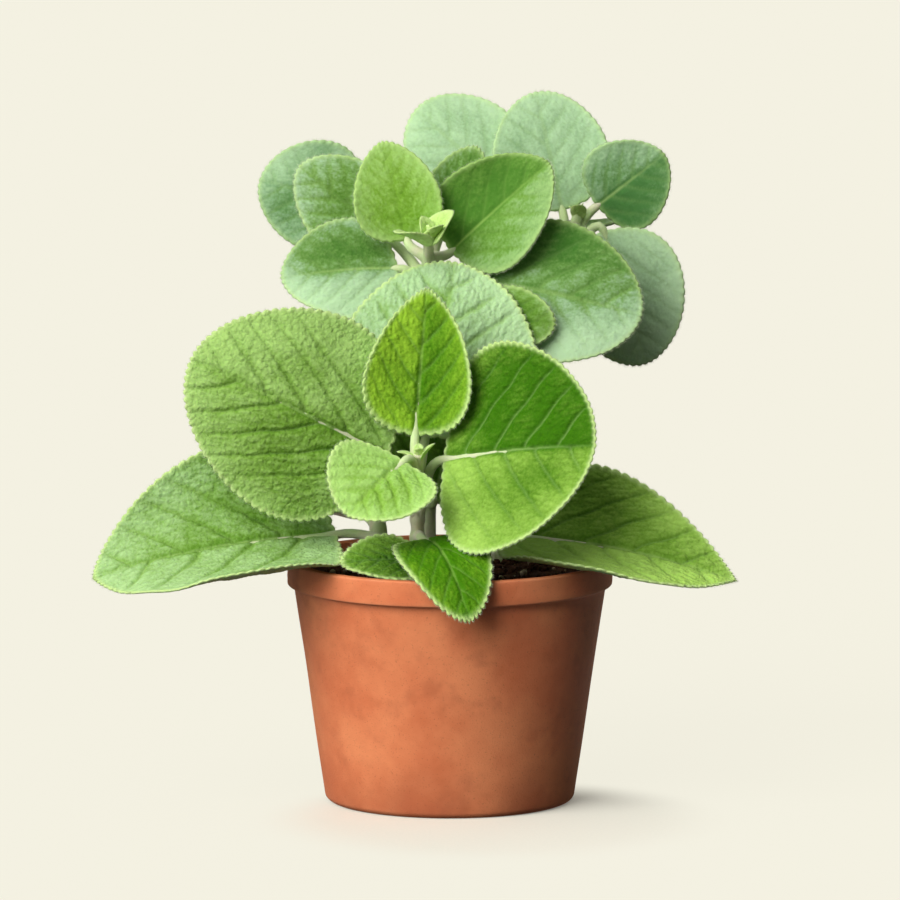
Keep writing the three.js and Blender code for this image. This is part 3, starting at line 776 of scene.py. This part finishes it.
def smooth_path(pegs, steps):
    """Points at even distances on a smooth curve through the pegs."""
    pegs = np.array(pegs, float)
    ends = np.vstack((2 * pegs[0] - pegs[1], pegs, 2 * pegs[-1] - pegs[-2]))
    fine = []
    for four in zip(ends, ends[1:], ends[2:], ends[3:]):
        gaps = [math.sqrt(np.linalg.norm(b - a)) for a, b in zip(four, four[1:])]
        t = [0, gaps[0], gaps[0] + gaps[1], sum(gaps)]
        for time in np.linspace(t[1], t[2], FINE_STEPS, endpoint=False):
            ones = [between(four[i], four[i + 1], t[i], t[i + 1], time) for i in range(3)]
            twos = [between(ones[i], ones[i + 1], t[i], t[i + 2], time) for i in range(2)]
            fine.append(between(*twos, t[1], t[2], time))
    fine = np.array([*fine, pegs[-1]])
    run = np.concatenate(([0], np.cumsum(np.linalg.norm(np.diff(fine, axis=0), axis=1))))
    wanted = np.linspace(0, run[-1], steps + 1)
    return np.column_stack([np.interp(wanted, run, fine[:, axis]) for axis in range(3)])


def ring_frames(path):
    """Two directions across the path at each of its points, which don't twist along it."""
    ahead = np.gradient(path, axis=0)
    side = np.cross(ahead[0], ASLANT)
    frames = []
    for way in ahead:
        way = unit(way)
        side = unit(side - way * (side @ way))
        frames.append((side, np.cross(way, side)))
    return frames


def bar(path, radii, sides, corners=0.0):
    """The mesh of a closed bar. corners makes it a little four-sided."""
    form = bmesh.new()
    steps = len(path) - 1
    bmesh.ops.create_cone(form, cap_ends=True, segments=sides, radius1=1, radius2=1, depth=2)
    rungs = [edge for edge in form.edges if abs(edge.verts[0].co.z - edge.verts[1].co.z) > 1]
    bmesh.ops.subdivide_edges(form, edges=rungs, cuts=steps - 1)
    frames = ring_frames(path)
    for point in form.verts:
        ring = round((point.co.z + 1) / 2 * steps)
        angle = math.atan2(point.co.y, point.co.x)
        side, other = frames[ring]
        radius = radii[ring] * (1 + corners * math.cos(4 * angle))
        point.co = path[ring] + radius * (math.cos(angle) * side + math.sin(angle) * other)
    for face in form.faces:
        face.material_index = STALK
    mesh = bpy.data.meshes.new("bar")
    form.to_mesh(mesh)
    form.free()
    return mesh


bend = smooth_path(((0, 0, 0), (0, 0, 30), (20, 0, 50)), 12)
print("past three pegs, halfway along the bend:", bend[6].round(1), "mm")

# %% [markdown]
# ## Hairs
# The plant is velvety: short stiff hairs stand on its stems, its stalks and the margins of its leaves,
# and give every outline a pale fringe. Blender's hair curves are lost when a model is exported, so each
# hair is a tiny closed cone with three sides. A cone has few faces, so thousands of them stay light.

# %% Grow hairs
HAIR_RADIUS = 0.07
HAIR_SINK = 0.42


def hairs(roots, aims, lengths):
    """A mesh of cones, one on each root."""
    form = bmesh.new()
    for root, aim, length in zip(roots, aims, lengths):
        turned = Vector(aim).to_track_quat("Z", "Y").to_matrix().to_4x4()
        middle = Matrix.Translation(Vector(root + unit(np.array(aim)) * length * HAIR_SINK))
        bmesh.ops.create_cone(form, cap_ends=True, segments=3, radius1=HAIR_RADIUS, radius2=0, depth=length,
                              matrix=middle @ turned)
    for face in form.faces:
        face.material_index = HAIR
    mesh = bpy.data.meshes.new("hairs")
    form.to_mesh(mesh)
    form.free()
    return mesh


def margin_hairs(leaf, seed, wander, per_mm, length):
    """The fringe of one leaf."""
    rng = np.random.default_rng(int(seed * 10))
    count = int(math.pi / 2 * (leaf.length + 2 * leaf.half) * per_mm)
    turn = (np.arange(count) + rng.uniform(-0.4, 0.4, count)) / count * 2 * math.pi
    across, up = -np.cos(turn), np.sin(turn)
    roots, out, _, _ = lay(leaf, across, up, np.zeros(count), seed, wander)
    x, y, _, _ = leaf.spread(across, up)
    beyond, _ = leaf.at(x + across, y + up)
    here, _ = leaf.at(x, y)
    aims = beyond - here + out * rng.uniform(-0.5, 0.7, (count, 1)) + rng.normal(0, 0.18, (count, 3))
    return hairs(roots, aims, length * rng.uniform(0.6, 1.2, count))


def bar_hairs(path, radii, per_mm, length, seed):
    """Hairs that stand out from a stem or stalk."""
    rng = np.random.default_rng(int(seed * 10) + 1)
    count = int(np.linalg.norm(np.diff(path, axis=0), axis=1).sum() * per_mm)
    frames = ring_frames(path)
    roots, aims = [], []
    for ring, angle in zip(rng.integers(1, len(path), count), rng.uniform(0, 2 * math.pi, count)):
        side, other = frames[ring]
        out = math.cos(angle) * side + math.sin(angle) * other
        slide = rng.uniform(0, 1) * (path[ring] - path[ring - 1])
        roots.append(path[ring] - slide + out * radii[ring] * 0.97)
        aims.append(out + rng.normal(0, 0.2, 3))
    return hairs(roots, aims, length * rng.uniform(0.5, 1.1, count))


print("a hair is", 2 * HAIR_RADIUS, "mm thick at its root")

# %% [markdown]
# ## Velvety skin
# The colour of a leaf has layers. Deep or pale green comes first, chosen for each half of each leaf and
# shifted towards its tip: this is painted light and shade over the leaf's own green, darker where a half is
# turned from the light, paler where it faces the light or lies in another leaf's shadow. Then come clouds,
# specks, painted shade on the floor between the swellings and in the troughs along the veins, and a grey
# haze on dusty leaves, which is dust and also a painted sheen that is strongest where the green is painted
# palest. Last are the pale margin, the underside and the pale lines of the veins. The velvet is sheen, and
# the flesh lets a little light through. Every pattern reads attributes stored on the blade, so it follows
# the leaf.

# %% Finishes for the leaves
def leaf_finish(name, deep_fresh, pale_fresh, deep_dusty, pale_dusty, vein_colour, under_colour, velvet):
    skin = Finish(name)
    flat = skin.attribute("flat", "Vector")
    bent = skin.shifted(flat, 220, 0.0008)
    dome = skin.attribute("dome")
    dusty = skin.attribute("dusty")
    crisp = skin.attribute("crisp")
    clouds = skin.noise(60, 3, 0.5, where=flat)
    specks = skin.noise(900, 3, 0.6, where=flat)
    # share starts from pale, the painted light and shade of each half and of the tip.
    share = skin.maths("ADD", skin.attribute("pale"), skin.ramp(clouds, 0.3, 0.7, -0.10, 0.10))
    # Painted shade on the floor between the swellings and a little painted light on their tops.
    share = skin.maths("ADD", share, skin.ramp(dome, 0, 1, -0.10, 0.07))
    share = skin.maths("ADD", share, skin.ramp(specks, 0.3, 0.7, -0.07, 0.07))
    share = skin.maths("ADD", share, skin.ramp(skin.attribute("outwards"), 0, 1, -0.08, 0.12))
    # Painted shade in the troughs along the veins, stronger on dusty leaves.
    groove_shade = skin.maths("MULTIPLY", skin.attribute("groove_shade"), skin.ramp(dusty, 0, 1, 0.16, 0.34))
    share = skin.ramp(skin.maths("SUBTRACT", share, groove_shade), -0.16, 1.02)
    fresh = skin.mix(share, deep_fresh, pale_fresh)
    # Dust, and a painted sheen that grows where the green is painted pale, so it is strongest on the lit
    # parts.
    dust_and_sheen = skin.maths("ADD", skin.maths("MULTIPLY", dusty, dusty), skin.ramp(share, 0.15, 0.9, 0, 1.8))
    dust_and_sheen = skin.maths("MULTIPLY", dusty, dust_and_sheen)
    tone = skin.mix(dust_and_sheen, fresh, skin.mix(share, deep_dusty, pale_dusty))
    margin = skin.maths("MULTIPLY", skin.attribute("margin"), skin.ramp(crisp, 0.1, 0.9, 0.25, 0.9))
    tone = skin.mix(margin, tone, colour(206, 234, 150))
    tone = skin.mix(skin.maths("MULTIPLY", skin.attribute("under"), 0.75), tone, under_colour)
    tone = skin.mix(skin.maths("MULTIPLY", skin.attribute("vein"), 0.62), tone, vein_colour)
    skin.set(Base_Color=tone, Roughness=0.68, Specular_IOR_Level=0.08, Sheen_Weight=velvet,
             Sheen_Roughness=0.4, Sheen_Tint=(0.80, 0.95, 0.70, 1), Subsurface_Weight=0.10,
             Subsurface_Radius=(1.0, 1.6, 0.4), Subsurface_Scale=0.001)
    swellings = skin.ramp(skin.cells(430, where=bent), 0.1, 0.7, 1, 0)
    wrinkles = skin.ramp(skin.cells(900, where=bent), 0.1, 0.7, 0.5, 0)
    pile = skin.ramp(skin.noise(2600, 3, 0.7, where=flat), 0, 1, 0, 0.35)
    height = skin.maths("MULTIPLY", skin.maths("ADD", swellings, wrinkles), crisp)
    skin.bump(skin.maths("ADD", height, pile), 0.6, 0.0005)
    return skin.material


underside = colour(150, 186, 112)
young_skin = leaf_finish("young_leaf_skin", deep_fresh=colour(66, 124, 0), pale_fresh=colour(176, 224, 62),
                         deep_dusty=colour(92, 144, 62), pale_dusty=colour(182, 222, 140),
                         vein_colour=colour(170, 208, 104), under_colour=underside, velvet=0.03)
grown_skin = leaf_finish("grown_leaf_skin", deep_fresh=colour(58, 114, 0), pale_fresh=colour(172, 214, 84),
                         deep_dusty=colour(82, 132, 74), pale_dusty=colour(190, 224, 174),
                         vein_colour=colour(180, 212, 128), under_colour=underside, velvet=0.07)
# The buds' own green is paler than a grown leaf's, and their undersides are painted almost white-green:
# painted light that lifts the shade beneath them.
bud_skin = leaf_finish("bud_skin", deep_fresh=colour(110, 164, 30), pale_fresh=colour(200, 234, 120),
                       deep_dusty=colour(140, 186, 80), pale_dusty=colour(210, 236, 170),
                       vein_colour=colour(204, 230, 150), under_colour=colour(222, 244, 160), velvet=0.15)
print("leaf finish:", len(grown_skin.node_tree.nodes), "nodes")

# %% Finishes for the stalks and the hairs
stalk_finish = Finish("stalk_skin")
blush = stalk_finish.noise(90, 2)
tone = stalk_finish.mix(stalk_finish.ramp(blush, 0.35, 0.7), colour(208, 230, 164), colour(228, 222, 192))
tone = stalk_finish.mix(stalk_finish.ramp(stalk_finish.noise(1200, 3), 0.4, 0.7, 0, 0.25), tone,
                        colour(190, 214, 140))
stalk_finish.set(Base_Color=tone, Roughness=0.6, Specular_IOR_Level=0.25, Sheen_Weight=0.35,
                 Sheen_Roughness=0.4, Subsurface_Weight=0.15, Subsurface_Radius=(1.2, 1.5, 0.6),
                 Subsurface_Scale=0.001)
stalk_finish.bump(stalk_finish.noise(1600, 4, 0.6), 0.35, 0.0004)

hair_finish = Finish("hair")
hair_finish.set(Base_Color=hair_finish.mix(hair_finish.noise(300, 2), colour(214, 230, 176),
                                           colour(232, 238, 206)), Roughness=0.7, Subsurface_Weight=0.2,
                Subsurface_Radius=(0.4, 0.5, 0.3), Subsurface_Scale=0.0005)
print("stalk:", len(stalk_finish.tree.nodes), "nodes, hair:", len(hair_finish.tree.nodes))

# %% [markdown]
# ## The stems
# Four fleshy stems rise from the soil and lean apart to the light. Their middle lines are the same as in
# the solid model. Each ends in three pairs of tiny leaves, each a quarter turn from the pair below, which
# are grown with the same formula as the large ones.

# %% Stems and their buds
STEMS = {
    "front": ((-12, -8, 52), (-12, -8, 84), (-12, -11, 104), (-12, -18, 120), (-11.5, -27, 133)),
    "middle": ((-8, 22, 52), (-8, 22, 84), (-8, 27, 130), (-8, 29, 172), (-8, 27.5, 192), (-8, 14.5, 207)),
    "right": ((18, 30, 52), (18, 30, 84), (26, 40, 130), (38, 52, 178), (48, 57, 212)),
    "left": ((-26, 30, 52), (-26, 30, 84), (-30, 40, 130), (-34, 50, 170), (-33, 50, 205)),
}
BUDS = {"front": (0, 7.5), "middle": (42, 16), "right": (-92, 7.5), "left": (0, 10)}
STEM_FOOT_RADIUS = 3.1
STEM_TIP_RADIUS = 1.9
STEM_STEPS = 90
STEM_SIDES = 20
STEM_CORNERS = 0.04
STEM_HAIRS = (5.0, 0.9)
BURIED_SHARE = 0.24
JOINT_SWELL = 0.55
JOINT_LENGTH = 0.022
BUD_LEANS = (54, 30, 14)
BUD_TILT = 14
BUD_SHRINK = 0.6
BUD_SINK = 1.2
BUD_SPREAD = 0.8
BUD_SLENDERNESS = 0.78
BUD_ARCH = 30
BUD_CUP = (28, 28)
BUD_POINT = 0.1
BUD_SPACING = 0.7
BUD_WANDER = 0.05
# BUD_PALE is painted light and shade as on the large leaves, set pale to lift the shade among the buds.
BUD_PALE = (0.75, 0.8, 0.1)
BUD_DUST = 0.15
BUD_HAIRS = (1.5, 0.5)

stem_paths = {name: smooth_path(pegs, STEM_STEPS) for name, pegs in STEMS.items()}
print("stems reach", {name: round(path[-1][2]) for name, path in stem_paths.items()}, "mm")


def bud_leaves(name):
    """The tiny leaves round a stem's tip, each pair a quarter turn from the one below and more upright."""
    turn, length = BUDS[name]
    tip = np.array(STEMS[name][-1], float)
    for level, lean in enumerate(BUD_LEANS):
        size = length * BUD_SHRINK ** level
        for side, tilt in ((0, -BUD_TILT), (180, BUD_TILT)):
            heading = math.radians(turn + 90 * level + side)
            away = np.array((math.cos(heading), math.sin(heading), 0))
            out, up = math.sin(math.radians(lean + tilt)), math.cos(math.radians(lean + tilt))
            along = away * out + np.array((0, 0, up))
            face = -away * up + np.array((0, 0, out))
            foot = tip + away * BUD_SPREAD / (1 + level) - np.array((0, 0, BUD_SINK * max(2 - level, 0.6)))
            yield Leaf(foot, foot + along * size, face, size * BUD_SLENDERNESS,
                       BUD_ARCH, BUD_CUP, BUD_POINT)


def stem(name, joints):
    """One stem, with its joints, tiny leaves and hairs."""
    path = stem_paths[name]
    shares = np.linspace(0, 1, len(path))
    radii = STEM_FOOT_RADIUS + shares * (STEM_TIP_RADIUS - STEM_FOOT_RADIUS)
    for joint in joints:
        radii = radii + JOINT_SWELL * np.exp(-((shares - joint) / JOINT_LENGTH) ** 2)
    form = bmesh.new()
    seed = 50 + len(name)
    for bud, leaf in enumerate(bud_leaves(name)):
        form.from_mesh(blade(leaf, BUD_SPACING, seed + bud, BUD_WANDER, BUD_PALE, BUD_DUST))
        form.from_mesh(margin_hairs(leaf, seed + bud, BUD_WANDER, *BUD_HAIRS))
    form.from_mesh(bar(path, radii, STEM_SIDES, STEM_CORNERS))
    buried = int(BURIED_SHARE * len(path))
    form.from_mesh(bar_hairs(path[buried:], radii[buried:], *STEM_HAIRS, seed))
    piece = finished(f"{name}_stem_skin", form, [bud_skin, stalk_finish.material, hair_finish.material],
                     f"{name}_stem")
    size_report(piece, f"{name}_stem")


# %% [markdown]
# ## The leaves
# Each row below is one leaf: the stem that it grows from and how far up, where its blade starts and
# ends, which way its upper side looks, and how wide, arched, cupped and pointed it is. The rest is for its
# colour: how pale its right half and its left half are and how much paler its tip is, which is painted
# light and shade over each leaf's own green, then how dusty it looks. The leaves on a stem come in pairs
# on opposite sides, each pair a quarter turn from the one below, and the stems lean and crowd, so the rows
# follow what the photograph and the plant's habit give.

# %% The leaves' sizes and places
LEAVES = {
    "front_leaf_upright": ("front", 0.86, (-12.8, -22.5, 139), (-8.5, -16, 192.5), (0.05, -1, 0.25),
                           42.5, 12, (50, 22), 0.55, (0.18, 0.50, 0.1), 0),
    "front_leaf_low": ("front", 0.83, (-17, -34.2, 131), (-37, -57, 114), (-0.15, -0.85, 0.5),
                       43, 30, (12, 12), 0.2, (0.80, 0.70, 0.05), 0.34),
    "front_leaf_left": ("front", 0.64, (-23, -21, 131), (-95, -27, 168), (-0.1, -0.95, 0.3),
                        78.5, 28, (-10, -10), 0.1, (0.68, 0.54, 0.22), 0.16),
    "front_leaf_right": ("front", 0.64, (-2, -21, 130), (53, -58, 140), (-0.5, -0.75, 0.45),
                         82, 20, (8, 25), 0.1, (0.46, 0.02, -0.36), 0.05),
    "front_leaf_back": ("front", 0.82, (-9, -11.5, 137), (2, 17.5, 198), (0, -0.8, 0.6),
                        74, 24, (-8, -8), 0.1, (0.80, 0.70, -0.1), 0.42),
    "rim_leaf_left": ("front", 0.45, (-42, -12, 101), (-131, -30, 87), (0, -0.62, 0.78),
                      80, 24, (50, 62), 0.5, (0.50, 0.64, 0.1), 0.32),
    "rim_leaf_right": ("front", 0.45, (20, -12, 101), (105, -30, 86), (0, -0.62, 0.78),
                       63, 24, (62, 48), 0.8, (0.84, 0.52, 0.15), 0.06),
    "rim_leaf_front": ("front", 0.55, (-9, -28, 101), (7, -71, 77), (0, -0.5, 0.85),
                       34, 80, (5, 5), 0.2, (0.12, 0.08, 0), 0),
    "rim_leaf_inner": ("front", 0.5, (-9, -25, 92.5), (-40, -36, 93), (0, -0.5, 0.87),
                       28, 20, (10, 10), 0.2, (0.25, 0.25, 0.1), 0.1),
    "middle_leaf_upright": ("middle", 0.92, (-16, 25, 205.5), (-25, 29, 241.5), (0, -1, 0.2),
                            33, 20, (15, 15), 0.3, (0.50, 0.60, 0.2), 0.35),
    "middle_leaf_tilted": ("middle", 0.92, (0.5, 30, 200.5), (37, 25, 234), (-0.1, -0.9, 0.4),
                           42, 15, (5, 35), 0.3, (0.38, 0.06, 0.1), 0.78),
    "middle_leaf_left": ("middle", 0.79, (-19.5, 28, 194.5), (-62.5, 22, 191.5), (0, -0.85, 0.5),
                         41, 25, (8, 8), 0.2, (0.31, 0.86, 0.1), 0.66),
    "middle_leaf_right": ("middle", 0.81, (12, 26, 190), (71, 18, 178), (0.05, -0.9, 0.4),
                          56, 25, (8, 8), 0.1, (1.00, 0.0, 0.2), 0.68),
    "middle_leaf_behind": ("middle", 0.84, (-24, 41, 205), (-56, 43, 231), (-0.1, -1, 0.2),
                           36, 20, (6, 6), 0.2, (0.44, 0.42, 0.1), 0.55),
    "middle_leaf_rear": ("middle", 0.885, (-2, 38, 210), (10, 45, 238), (0, -1, 0.2),
                         24, 20, (8, 8), 0.3, (0.3, 0.3, 0.1), 0.6),
    "middle_leaf_inner": ("middle", 0.73, (10, 12, 178), (39, 8, 176), (0.05, -0.9, 0.4),
                          26, 20, (8, 8), 0.2, (0.36, 0.36, 0.1), 0.4),
    "middle_leaf_front": ("middle", 0.36, (-6, 10, 110), (3, 1, 148), (0, -0.95, 0.3),
                          44, 20, (8, 8), 0.1, (0.26, 0.3, 0.1), 0.2),
    "middle_leaf_low": ("middle", 0.4, (-2, 45, 115), (8, 92, 95), (0, 0.4, 1),
                        56, 30, (10, 10), 0.1, (0.5, 0.5, 0.1), 0.3),
    "middle_leaf_back": ("middle", 0.62, (-7, 48, 162), (-6, 92, 154), (0, 0.4, 0.9),
                         50, 30, (10, 10), 0.1, (0.55, 0.5, 0.1), 0.3),
    "right_leaf_left": ("right", 0.83, (20.5, 69.5, 219), (-13, 80.5, 248), (0, -1, 0.2),
                        44, 20, (6, 6), 0.1, (0.76, 0.74, 0.1), 0.95),
    "right_leaf_upright": ("right", 0.89, (42, 65, 212), (32, 76, 255), (0, -1, 0.3),
                           44, 20, (6, 6), 0.1, (0.68, 0.62, 0.1), 0.95),
    "right_leaf_tilted": ("right", 0.915, (55, 60, 214), (80, 55, 234), (0.1, -1, 0.2),
                          35, 20, (8, 8), 0.2, (0.02, 0.36, 0.1), 0.9),
    "right_leaf_drooping": ("right", 0.86, (57.5, 53.5, 205), (73, 53.5, 155.5), (0.1, -1, 0.15),
                            46, 30, (8, 8), 0.1, (0.86, 0.80, 0.5), 0.85),
    "right_leaf_rear": ("right", 0.76, (48, 72, 204), (52, 106, 200), (0, 0.5, 0.85),
                        40, 30, (10, 10), 0.1, (0.6, 0.5, 0.1), 0.4),
    "right_leaf_middle": ("right", 0.5, (26, 56, 142), (24, 103, 133), (0, 0.4, 0.9),
                          47, 30, (10, 10), 0.1, (0.5, 0.55, 0.1), 0.3),
    "right_leaf_low": ("right", 0.28, (30, 45, 98), (74, 80, 90), (0.2, 0.2, 1),
                       54, 40, (10, 10), 0.1, (0.45, 0.45, 0.1), 0.25),
    "right_leaf_outer": ("right", 0.72, (48, 66, 174), (62, 104, 164), (0.2, 0.5, 0.85),
                         44, 30, (10, 10), 0.1, (0.55, 0.5, 0.1), 0.4),
    "left_leaf_upright": ("left", 0.9, (-34, 60, 213), (-71, 60, 224), (0, -1, 0.3),
                          42, 20, (6, 6), 0.1, (0.44, 0.32, 0.2), 0.9),
    "left_leaf_outer": ("left", 0.6, (-42, 60, 152.5), (-87, 82, 150.5), (-0.2, 0.2, 0.95),
                        54, 28, (10, 10), 0.1, (0.5, 0.55, 0.1), 0.3),
    "left_leaf_rear": ("left", 0.8, (-32, 68, 184), (-30, 106, 176), (0, 0.5, 0.85),
                       48, 30, (10, 10), 0.1, (0.6, 0.55, 0.1), 0.4),
    "left_leaf_middle": ("left", 0.45, (-26, 50, 120), (-46, 98, 108), (0, 0.2, 1),
                         54, 30, (10, 10), 0.1, (0.5, 0.5, 0.1), 0.3),
    "left_leaf_low": ("left", 0.28, (-34, 45, 100), (-79, 75, 92), (-0.2, 0.2, 1),
                      54, 40, (10, 10), 0.1, (0.45, 0.5, 0.1), 0.25),
}
YOUNG = ("front_leaf_upright", "front_leaf_low", "rim_leaf_front", "middle_leaf_upright",
         "middle_leaf_tilted")
LONG_SWEEP = {"front_leaf_left": 0.85}
SOFT_FOLD = {"middle_leaf_right": 44.0, "middle_leaf_left": 11.0}
print(len(LEAVES), "leaves on", len(STEMS), "stems")

# %% [markdown]
# A stalk leaves its stem a little upwards, swings round to the blade, and runs on under the midrib as a
# rib that thins out. A Bezier curve gives the swing.

# %% Stalks
STALK_RADII = (2.4, 1.6, 0.35)
STALK_SIDES = 12
STALK_HAIRS = (3.0, 0.8)
STALK_STEPS = 30
FREE_STALK = 22
STALK_RISE = 0.35
STALK_SWING = 0.4
SWING_STEPS = 8
RIB_SHARES = (0.0, 0.06, 0.16, 0.32, 0.6)
RIB_DEPTHS = (0.70, 1.50, 1.70, 1.40, 0.95)


def stalk_path(leaf, stem_path, share):
    """The stalk's middle line, and its radius at each point."""
    spot = share * (len(stem_path) - 1)
    below = int(spot)
    step = stem_path[below + 1] - stem_path[below]
    start = stem_path[below] + (spot - below) * step
    reach = np.linalg.norm(leaf.foot - start)
    aim = leaf.along * math.cos(leaf.bend / 2) + leaf.face * math.sin(leaf.bend / 2)
    away = unit(unit(leaf.foot - start) + unit(step) * STALK_RISE)
    pegs = (start, start + away * STALK_SWING * reach, leaf.foot - aim * STALK_SWING * reach, leaf.foot)
    swing = []
    for time in np.linspace(0, 1, SWING_STEPS, endpoint=False):
        left = 1 - time
        weights = (left ** 3, 3 * left ** 2 * time, 3 * left * time ** 2, time ** 3)
        swing.append(sum(weight * peg for weight, peg in zip(weights, pegs)))
    shares = np.array(RIB_SHARES)
    rib, out = leaf.at(shares * leaf.length, 0 * shares)
    path = smooth_path(np.vstack((swing, rib - out * np.array(RIB_DEPTHS)[:, None])), STALK_STEPS)
    run = np.concatenate(([0], np.cumsum(np.linalg.norm(np.diff(path, axis=0), axis=1))))
    foot_run = run[-1] - RIB_SHARES[-1] * leaf.length
    return path, np.interp(run, (0, foot_run, run[-1]), STALK_RADII)


print("a stalk and its rib thin from", 2 * STALK_RADII[0], "to", 2 * STALK_RADII[-1], "mm")

# %% [markdown]
# The blades in front are seen closely, so their points lie 0.6 mm apart and their relief is full. Those
# behind them, and those that look to the back, can be coarser and smoother, which keeps the whole plant
# light. A dusty leaf is smoother too, because the dust fills its wrinkles.

# %% Grow the leaves
FINE_SPACING = 0.62
MIDDLE_SPACING = 0.85
BACK_SPACING = 1.1
WANDER = 0.4
MARGIN_HAIRS = (2.6, 1.05)
CRISP = {"front": 1.0, "middle": 0.55, "right": 0.45, "left": 0.45}
YOUNG_CRISP = 0.8
DUST_SOFTENS = 0.35

for number, (name, row) in enumerate(LEAVES.items(), 1):
    stem_name, share, foot, tip, face, width, bend, cup, point, pale, dusty = row
    young = name in YOUNG
    crisp = CRISP[stem_name] * (YOUNG_CRISP if young else 1) * (1 - DUST_SOFTENS * dusty)
    leaf = Leaf(foot, tip, face, width, bend, cup, point, LONG_SWEEP.get(name, VEIN_SWEEP), crisp,
                SOFT_FOLD.get(name, SHARP_FOLD))
    seed = float(number)
    spacing = BACK_SPACING if face[1] > 0 else FINE_SPACING if stem_name == "front" else MIDDLE_SPACING
    form = bmesh.new()
    form.from_mesh(blade(leaf, spacing, seed, WANDER, pale, dusty))
    path, radii = stalk_path(leaf, stem_paths[stem_name], share)
    form.from_mesh(bar(path, radii, STALK_SIDES))
    form.from_mesh(margin_hairs(leaf, seed, WANDER, *MARGIN_HAIRS))
    form.from_mesh(bar_hairs(path[:FREE_STALK], radii[:FREE_STALK], *STALK_HAIRS, seed))
    piece = finished(f"{name}_skin", form, [young_skin if young else grown_skin, stalk_finish.material,
                                            hair_finish.material],
                     name)
    size_report(piece, name)

for name in STEMS:
    stem(name, sorted({row[1] for row in LEAVES.values() if row[0] == name}))
